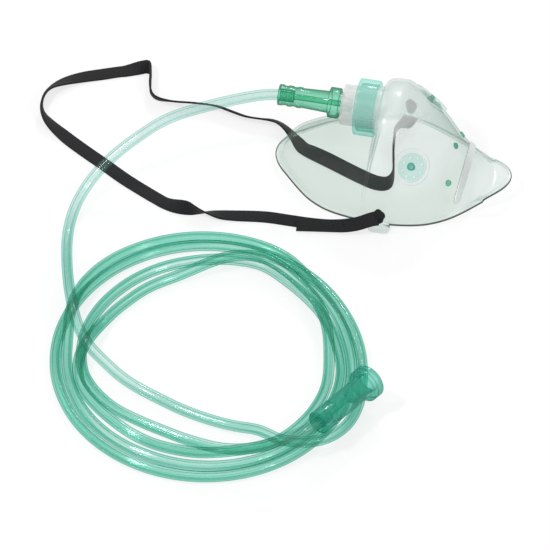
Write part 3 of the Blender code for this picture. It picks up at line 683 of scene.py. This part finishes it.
def knotNodes(material):
    tree, start, end = newNodes("knotNodes", knotInputs)
    line = output(tree, "GeometryNodeMeshToCurve", {0: start["Geometry"]})
    size = output(tree, "ShaderNodeCombineXYZ", {0: start["Half Width"], 1: start["Half Thickness"]})
    inputs = {"Geometry": unitCircle(tree, start["Sides"]), "Scale": size}
    section = output(tree, "GeometryNodeTransform", inputs)
    band = output(tree, "GeometryNodeCurveToMesh", {"Curve": line, "Profile Curve": section})
    endNodes(tree, band, material, end)
    return tree


def knotWeave():
    material, tree = newMaterial("knotWeave")
    inputs = {
        "Vector": objectPlace(tree),
        "Scale": strapLook["knotRibs"],
        "Distortion": strapLook["knotDistortion"],
    }
    ribs = addNode(tree, "ShaderNodeTexWave", inputs, wave_type="BANDS", bands_direction="DIAGONAL")
    finishWeave(tree, ribs.outputs["Fac"])
    return material


def makeKnots():
    tree = knotNodes(knotWeave())
    x, y, z = knot["centre"]
    wide, high, deep = knot["size"]
    swing, sway = knot["lobes"]
    count = knot["points"]
    made = []
    for label, side in bothSides:
        points = []
        for n in range(count):
            t = 2 * pi * n / count
            across = wide * (sin(t) + 2 * sin(2 * t)) * swing
            above = high * (cos(t) - 2 * cos(2 * t)) * swing
            points.append((x + across, side * y + deep * sin(3 * t) * sway, z + above))
        line = rawMesh(f"knotLine{label}", points, edges=[(n, (n + 1) % count) for n in range(count)])
        mesh = applyNodes(addPiece(f"knotLine{label}", line), tree, knotInputs)
        soften(mesh, knot["sharp"])
        made.append(addPiece(f"strapKnot{label}", mesh))
    return made


strapKnotNear, strapKnotFar = makeKnots()
print("knots made")


# Mask shell: arches from chin to nose, a turned-out lip, a port spigot, two cheek vents and two ears
shell = dict(
    wall=0.0014,
    lip=0.0020,
    alongSteps=112,
    acrossSteps=76,
    endBowSpan=0.08,
    portZ=0.0470,
    portFaceX=-0.0080,
    spigotBore=0.0113,
    spigotWall=0.0015,
    spigotLength=0.0105,
    borePast=0.005,  # how far its bore is cut on into the dome
    earX=0.0010,
    earWidth=0.0120,
    earReach=0.0064,
    earThick=0.0018,
    earRound=0.0030,
    slotLength=0.0088,
    slotWidth=0.0020,
    slotIn=0.0032,
    ventX=0.0157,
    ventSide=0.0270,
    ventRadius=0.0100,
    ventProud=0.0001,
    ventSunk=0.0030,
    ventCentre=0.0017,
    ventPocket=0.0100,
    drillSides=24,
    centreSides=48,
    slotRound=0.45,  # share of the slot's width
    cornerSteps=8,
    lipSmoothings=3,
    tries=(0.35, 0.95, 400),  # from the dome to the nose
    sharp=38.0,
)

ventInputs = {"Holes": 8, "Ring Radius": 0.0056, "Hole Radius": 0.0009, "Depth": 6 * shell["wall"]}
portAxis = Matrix.Translation((0, 0, shell["portZ"]))

# x of the rim, then its half width or how far it lifts, in millimetres
rimWidths = metres([
    (-53.5, 16.0), (-47.0, 22.2), (-40.0, 28.0), (-32.0, 32.2), (-23.0, 35.2), (-12.0, 37.7), (0.0, 38.9),
    (6.0, 38.7), (14.0, 37.0), (24.0, 33.3), (34.0, 28.0), (42.5, 21.6), (51.0, 14.2),
])

rimLifts = metres([
    (-53.5, 3.0), (-42.0, 1.2), (-28.0, 0.0), (-9.0, 1.3), (1.0, 1.8), (10.0, 1.3), (25.0, 0.0),
    (38.0, 1.0), (51.0, 4.0),
])

# x and height of the ridge and x of the rim in millimetres, and how square the arch is
arches = metres([
    (-62.5, 5.4, -53.5, 2.0), (-60.8, 10.5, -52.5, 2.0), (-57.5, 14.5, -50.5, 2.0),
    (-53.5, 17.0, -47.0, 2.0), (-48.0, 18.4, -42.5, 2.0), (-42.0, 19.5, -37.5, 2.0),
    (-35.5, 20.8, -32.5, 2.1), (-28.5, 22.6, -27.0, 2.1), (-21.0, 24.8, -21.5, 2.2),
    (-13.5, 26.8, -16.5, 2.2), (-9.2, 28.5, -13.0, 2.2), (-8.1, 34.5, -11.5, 2.15),
    (-8.0, 43.0, -10.5, 2.1), (-7.8, 51.5, -9.2, 2.05), (-6.8, 57.5, -7.5, 2.0), (-3.5, 60.2, -5.0, 2.0),
    (2.5, 60.8, -1.0, 2.0), (6.0, 60.0, 2.5, 2.0), (12.0, 55.5, 8.0, 1.95), (18.0, 50.5, 14.0, 1.9),
    (24.0, 43.8, 20.0, 1.8), (29.5, 35.8, 26.0, 1.7), (34.5, 27.2, 31.5, 1.6), (40.0, 19.0, 37.0, 1.6),
    (45.5, 13.0, 41.5, 1.6), (50.5, 8.5, 45.5, 1.7), (55.0, 7.0, 48.0, 1.9), (59.0, 8.0, 49.7, 2.0),
    (62.5, 10.2, 51.0, 2.0),
], (1000, 1000, 1000, 1))

# The lip's section: how far out of the shell's foot and above it, in millimetres
lipSection = [
    (0.12, 0.30), (0.35, 0.08), (0.70, 0.0), (1.40, 0.0), (1.72, -0.08), (1.93, -0.30),
    (2.00, -0.70), (1.93, -1.10), (1.70, -1.33), (1.30, -1.40), (0.20, -1.40),
]
lipFillet = 0.0007


def around(rows, at):
    before = rows[at - 1] if at else 2 * rows[0] - rows[1]
    after = rows[at + 2] if at + 2 < len(rows) else 2 * rows[-1] - rows[-2]
    return before, rows[at], rows[at + 1], after


def rimValue(rows, x):
    at = int(np.clip(np.searchsorted(rows[:, 0], x) - 1, 0, len(rows) - 2))
    before, b, c, after = around(rows, at)
    span = c[0] - b[0]
    t = (x - b[0]) / span
    slopeB = (c[1] - before[1]) / (c[0] - before[0]) * span
    slopeC = (after[1] - b[1]) / (after[0] - b[0]) * span
    rise = (3 * t**2 - 2 * t**3) * (c[1] - b[1])
    return b[1] + rise + (t**3 - 2 * t**2 + t) * slopeB + (t**3 - t**2) * slopeC


# A point of the shell's outer side: place runs from chin to nose, across from one rim to the other
def shellPoint(place, across):
    run = place * (len(arches) - 1)
    at = min(int(run), len(arches) - 2)
    ridgeX, ridgeZ, rimX, square = between(*around(arches, at), run - at)
    foot = rimValue(rimLifts, rimX) + shell["wall"]
    angle = abs(across) * pi / 2
    rise = cos(angle) ** (2 / square) if abs(across) < 1 else 0.0
    side = copysign(rimValue(rimWidths, rimX) * sin(angle) ** (2 / square), across)
    nearEnd = max(0.0, 1 - min(place, 1 - place) / shell["endBowSpan"])
    return Vector((rimX + (ridgeX - rimX) * rise ** (1 + nearEnd), side, foot + (ridgeZ - foot) * rise))


def shellNormal(place, across):
    step = 0.002
    first = shellPoint(min(place + step, 1), across) - shellPoint(max(place - step, 0), across)
    second = shellPoint(place, across + step) - shellPoint(place, across - step)
    normal = first.cross(second).normalized()
    return normal if normal.z > 0 else -normal


def placeAt(wanted, across):
    return float(min(np.linspace(*shell["tries"]), key=lambda t: abs(shellPoint(t, across).x - wanted)))


# Where the shell lies at this x and side, turned so that x points out of it
def layOn(place, across):
    return Matrix.Translation(shellPoint(place, across)) @ along(shellNormal(place, across))


def borderOf(rows, columns):
    border = [(0, j) for j in range(columns)] + [(i, columns - 1) for i in range(1, rows)]
    border += [(rows - 1, j) for j in range(columns - 2, -1, -1)]
    return border + [(i, 0) for i in range(rows - 2, 0, -1)]


def outwards(feet):
    way = np.roll(feet, -2, axis=0) - np.roll(feet, 2, axis=0)
    out = np.stack([way[:, 1], -way[:, 0], np.zeros(len(way))], axis=1)
    out /= np.linalg.norm(out, axis=1, keepdims=True)
    if np.sum(out * feet) < 0:
        out = -out
    for _ in range(shell["lipSmoothings"]):
        out = np.roll(out, 1, axis=0) + 2 * out + np.roll(out, -1, axis=0)
        out /= np.linalg.norm(out, axis=1, keepdims=True)
    return out


def shellBase():
    rows, columns = shell["alongSteps"] + 1, shell["acrossSteps"] + 1
    grid = np.array(
        [[shellPoint(t, s) for s in np.linspace(-1, 1, columns)] for t in np.linspace(0, 1, rows)]
    )
    normals = np.cross(np.gradient(grid, axis=0), np.gradient(grid, axis=1))
    normals /= np.linalg.norm(normals, axis=2, keepdims=True)
    if normals[rows // 2, columns // 2, 2] < 0:
        normals = -normals
    inner = grid - normals * shell["wall"]
    border = borderOf(rows, columns)
    feet = np.array([grid[spot] for spot in border])
    out = outwards(feet)
    steep = np.array([hypot(*normals[spot][:2]) for spot in border])
    up = np.array([0.0, 0.0, 1.0])
    outer = grid.copy()
    for n, spot in enumerate(border):
        outer[spot] = feet[n] + up * lipFillet * steep[n]
    points = [tuple(p) for p in outer.reshape(-1, 3)] + [tuple(p) for p in inner.reshape(-1, 3)]
    count = rows * columns
    faces = []
    for i in range(rows - 1):
        for j in range(columns - 1):
            a = i * columns + j
            quad = (a, a + columns, a + columns + 1, a + 1)
            faces += [quad, tuple(count + k for k in quad[::-1])]
    rings = [[i * columns + j for i, j in border]]
    for reach, rise in lipSection:
        lift = np.where(rise > 0, rise * steep, rise)[:, None]
        row = feet + out * reach / 1000 + up * lift / 1000
        rings.append(list(range(len(points), len(points) + len(row))))
        points += [tuple(p) for p in row]
    rings.append([count + i * columns + j for i, j in border])
    for first, second in zip(rings, rings[1:]):
        for n in range(len(border)):
            m = (n + 1) % len(border)
            faces.append((first[n], first[m], second[m], second[n]))
    return faceOut(rawMesh("shellBase", points, faces)), feet, out


def markLip(mesh, feet, out):
    places = np.array([v.co for v in mesh.vertices])
    near = np.argmin(np.linalg.norm(places[:, None, :2] - feet[None, :, :2], axis=2), axis=1)
    reach = np.sum((places - feet[near]) * out[near], axis=1)
    low = places[:, 2] < feet[near][:, 2] + lipLine["below"]
    start, full, end = lipLine["reach"]
    values = np.clip((reach - start) / (full - start), 0, 1) * low * (reach < end)
    values *= np.clip(1 - out[near][:, 1], lipLine["faintest"], 1)
    layer = mesh.attributes.new("lipEdge", "FLOAT", "POINT")
    layer.data.foreach_set("value", values.astype(np.float32))


def blockMesh(work, size, radius, place):
    before = set(work.verts)
    bmesh.ops.create_cube(work, size=1, matrix=Matrix.Diagonal((*size, 1)))
    fresh = [v for v in work.verts if v not in before]
    upright = [
        e for e in work.edges
        if e.verts[0] in fresh and abs(e.verts[0].co.z - e.verts[1].co.z) > size[2] / 2
    ]
    bmesh.ops.bevel(
        work, geom=upright, offset=radius, offset_type="OFFSET", segments=shell["cornerSteps"],
        profile=0.5, affect="EDGES",
    )
    fresh = [v for v in work.verts if v not in before]
    bmesh.ops.transform(work, matrix=place, verts=fresh)


def rodMesh(work, radius, start, end, place, sides=96):
    lay = Matrix.Translation(((start + end) / 2, 0, 0)) @ Matrix.Rotation(pi / 2, 4, "Y")
    bmesh.ops.create_cone(
        work, cap_ends=True, segments=sides, radius1=radius, radius2=radius, depth=end - start,
        matrix=place @ lay,
    )


def ventPlace(side):
    share = shell["ventSide"] / rimValue(rimWidths, shell["ventX"])
    across = side * 2 / pi * asin(min(1.0, share))
    return layOn(placeAt(shell["ventX"], across), across)


def ventHoleNodes():
    tree, start, end = newNodes("ventHoleNodes", ventInputs)
    inputs = {"Vertices": start["Holes"], "Radius": start["Ring Radius"]}
    ring = output(tree, "GeometryNodeMeshCircle", inputs, fill_type="NONE")
    inputs = {"Vertices": shell["drillSides"], "Radius": start["Hole Radius"], "Depth": start["Depth"]}
    drill = output(tree, "GeometryNodeMeshCylinder", inputs, fill_type="NGON")
    drills = output(tree, "GeometryNodeInstanceOnPoints", {"Points": ring, "Instance": drill})
    endNodes(tree, drills, bpy.data.materials.new("drill"), end)
    return tree


def toolPiece(name, work):
    mesh = bpy.data.meshes.new(name)
    work.to_mesh(mesh)
    work.free()
    return addPiece(name, mesh)


def shellCutters(adding):
    work = bmesh.new()
    face, wall = shell["portFaceX"], shell["wall"]
    back = face - shell["spigotLength"]
    edgeY = rimValue(rimWidths, shell["earX"]) + shell["lip"]
    lift = rimValue(rimLifts, shell["earX"]) + shell["earThick"] / 2
    if adding:
        rodMesh(work, shell["spigotBore"] + shell["spigotWall"], back, face + wall, portAxis)
    else:
        rodMesh(work, shell["spigotBore"], back - wall, face + shell["borePast"], portAxis)
        holes = applyNodes(addPiece("ventDrill", rawMesh("ventDrill", [])), ventHoleNodes(), ventInputs)
    for side in (-1, 1):
        place = ventPlace(side)
        if adding:
            rodMesh(work, shell["ventRadius"], -shell["ventSunk"], shell["ventProud"], place)
            root = edgeY - shell["lip"] / 2
            length = edgeY + shell["earReach"] - root
            middle = Matrix.Translation((shell["earX"], side * (root + length / 2), lift))
            blockMesh(work, (shell["earWidth"], length, shell["earThick"]), shell["earRound"], middle)
        else:
            middle = Matrix.Translation((shell["earX"], side * (edgeY + shell["slotIn"]), lift))
            size = (shell["slotLength"], shell["slotWidth"], 3 * shell["earThick"])
            blockMesh(work, size, shell["slotWidth"] * shell["slotRound"], middle)
            lay = Matrix.Translation((shell["ventProud"], 0, 0)) @ Matrix.Rotation(pi / 2, 4, "Y")
            copy = holes.copy()
            copy.transform(place @ lay)
            work.from_mesh(copy)
            rodMesh(work, shell["ventCentre"], -3 * wall, 3 * wall, place, shell["centreSides"])
    return toolPiece("adding" if adding else "cutting", work)


def ventPockets():
    work = bmesh.new()
    for side in (-1, 1):
        reach = shell["ventProud"] - shell["wall"]
        rodMesh(work, shell["ventRadius"] - shell["wall"], -shell["ventPocket"], reach, ventPlace(side))
    return toolPiece("pockets", work)


shellLook = dict(
    face=rgb(0.86, 0.90, 0.88),
    faceHigh=rgb(0.925, 0.952, 0.945),
    clears=(0.014, 0.036),  # metres above the floor
    clearsNose=(0.030, 0.056),  # and towards the nose
    milky=(0.045, 0.054),
    hazeHigh=0.34,
    rim=rgb(0.74, 0.81, 0.79),
    edge=3.5,
    body=rgb(0.95, 0.985, 0.975),
    bodyDark=rgb(0.90, 0.95, 0.935),
    haze=0.02,
    hazeRim=0.08,
    roughness=0.5,
    gloss=0.010,
    glossRim=0.05,
    glossRoughness=0.16,
    grain=260.0,
    grainDepth=0.00006,
    cloud=22.0,
    edgeTint=rgb(0.07, 0.09, 0.085),
)

# The dark line round the lip, which fades towards the far side
lipLine = dict(
    reach=(0.00145, 0.00176, 0.00215),  # it starts, is full and ends this far out of the shell's foot
    below=0.0002,
    faintest=0.06,
)


def makeShell():
    material = clearPlastic("shellVinyl", shellLook, edged=True)
    base, feet, out = shellBase()
    made = addPiece("maskShell", base)
    tools = [shellCutters(True), ventPockets(), shellCutters(False)]
    for operation, tool in zip(("UNION", "DIFFERENCE", "DIFFERENCE"), tools):
        modify(made, "BOOLEAN", operation=operation, object=tool, solver="EXACT")
    mesh = baked(made, "maskShell")
    for tool in tools:
        bpy.data.objects.remove(tool, do_unlink=True)
    mesh.materials.clear()
    soften(mesh, shell["sharp"])
    markLip(mesh, feet, out)
    return addPiece("maskShell", mesh, material)


maskShell = makeShell()
print(f"shell made, {len(maskShell.data.polygons)} faces")


# Valve flaps behind the cheek vents, each on its post
flap = dict(
    back=-0.0020,
    front=-0.0015,
    radius=0.0078,
    hole=0.0016,
    post=0.0014,
    postBack=-0.0028,
    postFront=0.0006,
    head=0.0022,
    edge=0.0002,
    sides=64,
)

flapLook = dict(
    face=rgb(0.87, 0.965, 0.945),
    rim=rgb(0.75, 0.90, 0.87),
    edge=2.5,
    body=rgb(0.40, 0.84, 0.74),
    bodyDark=rgb(0.30, 0.76, 0.66),
    haze=0.03,
    hazeRim=0.15,
    roughness=0.4,
    gloss=0.010,
    glossRim=0.03,
    glossRoughness=0.2,
    grain=500.0,
    grainDepth=0.00003,
    cloud=160.0,
)

postLook = dict(
    flapLook,
    face=rgb(0.50, 0.80, 0.74),
    rim=rgb(0.20, 0.50, 0.44),
    body=rgb(0.10, 0.42, 0.36),
    haze=0.25,
)


def makeFlaps():
    silicone, pin = clearPlastic("flapSilicone", flapLook), clearPlastic("postPlastic", postLook)
    back, front, tail, tip = (flap[key] for key in ("back", "front", "postBack", "postFront"))
    disc = [(back, flap["hole"]), (back, flap["radius"]), (front, flap["radius"]), (front, flap["hole"])]
    post = [(tail, 0), *stepped(tail, [(back - tail, flap["head"]), (tip - back, flap["post"])]), (tip, 0)]
    made = []
    for label, side in bothSides:
        for kind, outline, material in (("ventFlap", disc, silicone), ("ventPost", post, pin)):
            name = f"{kind}{label}"
            mesh = turnedMesh(name, outline, flap["edge"], ventPlace(side), flap["sides"])
            made.append(addPiece(name, mesh, material))
    return made


ventFlaps = makeFlaps()
print("valve flaps made")


# Nose clip: a soft metal strip bent over the nose
clip = dict(
    width=0.0050,
    thick=0.0008,
    halfLength=0.0260,
    x=0.0405,
    gap=0.0003,
    steps=72,
    columns=5,
    edge=0.00025,
    sharp=50.0,
    dark=rgb(0.64, 0.70, 0.68),
    light=rgb(0.76, 0.81, 0.79),
    endWidth=0.15,  # least share of the width that its rounded ends keep
    tries=(-0.9, 0.9, 201),  # over the shell, where its length is measured
    brush=(1.0, 0.08, 0.3),
    brushScale=2600.0,
    brushDepth=0.00003,
    roughness=(0.2, 0.3),  # gain and base by the brushing
)


def clipMetal():
    material, tree = newMaterial("clipMetal")
    inputs = {"Vector": objectPlace(tree), "Scale": clip["brush"]}
    brushed = noise(tree, output(tree, "ShaderNodeMapping", inputs), clip["brushScale"])
    colour = mixColour(tree, brushed, clip["dark"], clip["light"])
    roughness = calc(tree, "MULTIPLY_ADD", brushed, *clip["roughness"])
    inputs = {"Metallic": 1.0, "Normal": bump(tree, brushed, clip["brushDepth"])}
    finishTree(tree, principled(tree, colour, roughness, inputs))
    return material


def makeClip():
    ridge = placeAt(clip["x"], 0.0)
    reach = np.linspace(*clip["tries"])
    line = [shellPoint(ridge, s) for s in reach]
    lengths = np.concatenate([[0], np.cumsum([(b - a).length for a, b in zip(line, line[1:])])])
    lengths -= lengths[len(line) // 2]
    stops = np.linspace(-clip["halfLength"], clip["halfLength"], clip["steps"] + 1)
    acrosses = np.interp(stops, lengths, reach)
    step = 0.01
    slope = (shellPoint(ridge + step, 0) - shellPoint(ridge - step, 0)).length
    half = clip["width"] * step / slope
    ends = np.linspace(-1, 1, clip["columns"])
    points = []
    for stop, across in zip(stops, acrosses):
        left = clip["halfLength"] - abs(stop)
        narrow = sqrt(max(0.0, 1 - (1 - min(1.0, left / (clip["width"] / 2))) ** 2))
        for share in ends * max(narrow, clip["endWidth"]):
            place = ridge + half * share
            points.append(shellPoint(place, across) + shellNormal(place, across) * clip["gap"])
    wide = len(ends)
    corners = [i * wide + j for i in range(clip["steps"]) for j in range(wide - 1)]
    mesh = rawMesh("noseClip", points, [(a, a + 1, a + wide + 1, a + wide) for a in corners])
    mesh.update()
    if mesh.polygons[0].normal.z < 0:
        mesh.flip_normals()
    made = addPiece("noseClip", mesh, clipMetal())
    modify(made, "SOLIDIFY", thickness=clip["thick"], offset=1)
    limit = radians(clip["sharp"])
    modify(made, "BEVEL", width=clip["edge"], segments=2, limit_method="ANGLE", angle_limit=limit)
    shape = baked(made, "noseClip")
    soften(shape, clip["sharp"])
    return addPiece("noseClip", shape)


noseClip = makeClip()
print("clip made")


# Moulded studs beside the clip, one on the ridge and one on each flank
stud = dict(
    x=0.0338,
    sides=(-0.0185, 0.0, 0.0185),
    radius=0.0019,
    top=0.8,  # share of the radius at the top
    height=0.0008,
    sunk=-0.0004,
    edge=0.0004,
    facets=32,
    tries=(-0.9, 0.9, 181),
)


def makeStuds(material):
    low, high, radius = stud["sunk"], stud["height"], stud["radius"]
    outline = [(low, 0), (low, radius), (high, radius * stud["top"]), (high, 0)]
    tries = np.linspace(*stud["tries"])
    made = []
    for label, side in zip(("Near", "Ridge", "Far"), stud["sides"]):
        across = min(tries, key=lambda s: abs(shellPoint(placeAt(stud["x"], s), s).y - side))
        name = f"noseStud{label}"
        place = layOn(placeAt(stud["x"], across), across)
        mesh = turnedMesh(name, outline, stud["edge"], place, stud["facets"])
        made.append(addPiece(name, mesh, material))
    return made


# Collar, neck and connectors, all turned
port = dict(
    faceX=-0.0090,
    endX=-0.0200,
    lip=0.0012,
    bore=0.0131,
    radius=0.0153,
    neckRadius=0.0110,
    neckWall=0.0014,
    neckIn=-0.0100,
    neckEnd=-0.0278,
    neckHole=0.0041,
    gap=0.0003,
    edges=(0.0008, 0.0007),  # of the collar and the neck
    sides=(128, 112),
)

collarLook = dict(
    face=rgb(0.87, 0.965, 0.945),
    rim=rgb(0.50, 0.90, 0.81),
    edge=2.5,
    body=rgb(0.27, 0.84, 0.70),
    bodyDark=rgb(0.22, 0.78, 0.64),
    haze=0.08,
    hazeRim=0.16,
    roughness=0.32,
    gloss=0.014,
    glossRim=0.04,
    glossRoughness=0.12,
    grain=420.0,
    grainDepth=0.00003,
    cloud=90.0,
)

neckLook = dict(
    collarLook,
    face=rgb(0.985, 0.985, 0.985),
    rim=rgb(0.91, 0.92, 0.92),
    edge=3.0,
    body=rgb(0.97, 0.955, 0.955),
    bodyDark=rgb(0.94, 0.93, 0.93),
    haze=0.42,
)

connectorLook = dict(
    collarLook,
    face=rgb(0.62, 0.93, 0.81),
    rim=rgb(0.015, 0.19, 0.11),
    edge=1.3,
    body=rgb(0.030, 0.50, 0.28),
    bodyDark=rgb(0.018, 0.42, 0.22),
    haze=0.15,
    hazeRim=0.30,
    roughness=0.28,
    gloss=0.018,
    glossRoughness=0.10,
    cloud=120.0,
)

supplyLook = dict(
    connectorLook,
    face=rgb(0.64, 0.94, 0.875),
    rim=rgb(0.02, 0.26, 0.19),
    body=rgb(0.09, 0.76, 0.58),
    bodyDark=rgb(0.01, 0.48, 0.35),
    haze=0.17,
    cloud=170.0,
)


# A cup with a hole in its floor
def cup(front, back, inside, outside, hole, floor):
    step = back + floor
    return [(front, inside), (front, outside), (back, outside), (back, hole), (step, hole), (step, inside)]


def makePort():
    radius, wall = port["neckRadius"], port["neckWall"]
    hole = radius + port["gap"]
    collar = cup(port["faceX"], port["endX"], port["bore"], port["radius"], hole, port["lip"])
    neck = cup(port["neckIn"], port["neckEnd"], radius - wall, radius, port["neckHole"], wall)
    kinds = (("Collar", collar, collarLook), ("Neck", neck, neckLook))
    made = []
    for (kind, outline, look), edge, sides in zip(kinds, port["edges"], port["sides"]):
        mesh = turnedMesh("port" + kind, outline, edge, portAxis, sides)
        made.append(addPiece("port" + kind, mesh, clearPlastic(kind.lower() + "Plastic", look)))
    return made


# Lengths and radii, from the neck to the tube
connector = dict(
    x=-0.0281,
    stem=(0.0015, 0.0062),
    flange=(0.0056, 0.0083),
    body=(0.0152, 0.0060, 0.0053),
    grip=(0.0125, 0.0057),
    grooves=2,
    grooveDepth=0.0004,
    nipple=(0.0050, 0.0038),
    tubeBore=0.0033,
    airway=0.0016,
    edge=0.00028,
)


def makeMaskConnector(material):
    x, airway, hole = connector["x"], connector["airway"], connector["tubeBore"]
    tip, tipRadius = x + connector["nipple"][0], connector["nipple"][1]
    length, radius = connector["grip"]
    ribs = 2 * connector["grooves"] + 1
    grip = [(length / ribs, radius - n % 2 * connector["grooveDepth"]) for n in range(ribs)]
    outside = stepped(x, [connector["stem"], connector["flange"], connector["body"], *grip], -1)
    end = outside[-1][0]
    bore = end + tube["push"] + port["gap"]
    front = [(tip, airway), (tip, tipRadius), (x, tipRadius)]
    back = [(end, hole), (bore, hole), (bore, airway)]
    mesh = turnedMesh("maskConnector", [*front, *outside, *back], connector["edge"], portAxis)
    return addPiece("maskConnector", mesh, material)


supply = dict(
    collar=(0.0090, 0.0066),
    waist=(0.0030, 0.0056),
    body=(0.0255, 0.0064),
    flange=[(0.0019, 0.0094), (0.0012, 0.0086), (0.0029, 0.0094)],  # with a groove round it
    socket=(0.0170, 0.0056, 0.0042),
    edge=0.0004,
)


def makeSupplyConnector(material):
    outside = stepped(0, [supply["collar"], supply["waist"], supply["body"], *supply["flange"]])
    mouth = outside[-1][0]
    depth, wide, narrow = supply["socket"]
    bore, hole, airway = tube["push"] + port["gap"], connector["tubeBore"], connector["airway"]
    inside = [(mouth, wide), (mouth - depth, narrow), (mouth - depth, airway), (bore, airway), (bore, hole)]
    place = Matrix.Translation(tube["supplyEnd"]) @ along(tube["supplyAim"])
    mesh = turnedMesh("supplyConnector", [(0, hole), *outside, *inside], supply["edge"], place)
    return addPiece("supplyConnector", mesh, material)


portCollar, portNeck = makePort()
connectorPlastic = clearPlastic("connectorPlastic", connectorLook)
maskConnector = makeMaskConnector(connectorPlastic)
supplyConnector = makeSupplyConnector(clearPlastic("supplyPlastic", supplyLook))
noseStuds = makeStuds(connectorPlastic)
print("port and connectors made")


# Floor, world and lamps
studio = dict(
    floorSize=8.0,
    floorGap=0.0001,
    floorShade=0.92,
    floorGlow=0.72,  # share of the floor's look that the shadow doesn't reach
    glow=1.06,
    floorRoughness=0.9,
    paper=(400.0, 0.98),  # scale of its grain, and shade of the darker parts
    world=0.55,
    aim=(-0.06, -0.08, 0.02),  # where the lamps point
)


# Rays that see the floor and the world at their full brightness
def directRays(tree):
    seen = addNode(tree, "ShaderNodeLightPath").outputs
    mirrored = calc(tree, "MAXIMUM", seen["Is Glossy Ray"], seen["Is Transmission Ray"])
    return calc(tree, "MAXIMUM", seen["Is Camera Ray"], mirrored)


def makeFloor():
    material, tree = newMaterial("floorPaper")
    scale, darker = studio["paper"]
    light, dark = (rgb(*[studio["floorShade"] * share] * 3) for share in (1.0, darker))
    colour = mixColour(tree, noise(tree, objectPlace(tree), scale), light, dark)
    diffuse = principled(tree, colour, studio["floorRoughness"], {"Specular IOR Level": 0.0})
    glow = output(tree, "ShaderNodeEmission", {"Strength": studio["glow"]})
    share = calc(tree, "MULTIPLY", directRays(tree), studio["floorGlow"])
    finishTree(tree, mixShader(tree, share, diffuse, glow))
    half = studio["floorSize"] / 2
    low = cadLow.z - studio["floorGap"]
    corners = [(-half, -half, low), (half, -half, low), (half, half, low), (-half, half, low)]
    return addPiece("floor", rawMesh("floor", corners, [(0, 1, 2, 3)]), material)


def makeWorld():
    world = bpy.data.worlds.new("studio")
    world.use_nodes = True
    tree = world.node_tree
    tree.nodes.clear()
    strength = calc(tree, "MULTIPLY_ADD", directRays(tree), 1.0 - studio["world"], studio["world"])
    light = output(tree, "ShaderNodeBackground", {"Strength": strength})
    addNode(tree, "ShaderNodeOutputWorld", {"Surface": light})
    scene.world = world


lamps = {
    "key": {"at": (-0.55, -0.45, 1.05), "size": 0.16, "watts": 5.0},
    "fill": {"at": (0.75, -0.65, 0.85), "size": 0.20, "watts": 3.0},
    "back": {"at": (-0.10, 0.85, 0.80), "size": 0.18, "watts": 3.5},
}


def makeLamps():
    aim = Vector(studio["aim"])
    for name, look in lamps.items():
        data = bpy.data.lights.new(name, "AREA")
        data.shape = "DISK"
        data.size = look["size"]
        data.energy = look["watts"]
        lamp = bpy.data.objects.new(name, data)
        scene.collection.objects.link(lamp)
        lamp.location = look["at"]
        lamp.rotation_mode = "QUATERNION"
        lamp.rotation_quaternion = (Vector(look["at"]) - aim).to_track_quat("Z", "Y")


floor = makeFloor()
makeWorld()
makeLamps()
print("studio made")


# What each piece stands for
stands = {
    maskShell: ("mask_shell", "clear_vinyl"),
    noseClip: ("nose_clip", "clip_aluminium"),
    portCollar: ("port_collar", "collar_green"),
    portNeck: ("port_neck", "neck_clear"),
    maskConnector: ("mask_connector", "connector_green"),
    supplyConnector: ("supply_connector", "connector_green"),
    headStrap: ("head_strap", "strap_black"),
    strapKnotNear: ("strap_knot_near", "strap_black"),
    strapKnotFar: ("strap_knot_far", "strap_black"),
}
for piece, (node, slot) in stands.items():
    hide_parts(node)
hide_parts("oxygen_tube_lead", "tube_coil", "oxygen_tube_tail")
for piece in (*stands, oxygenTube, strapTail, *ventFlaps, *noseStuds):
    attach(piece, "root")
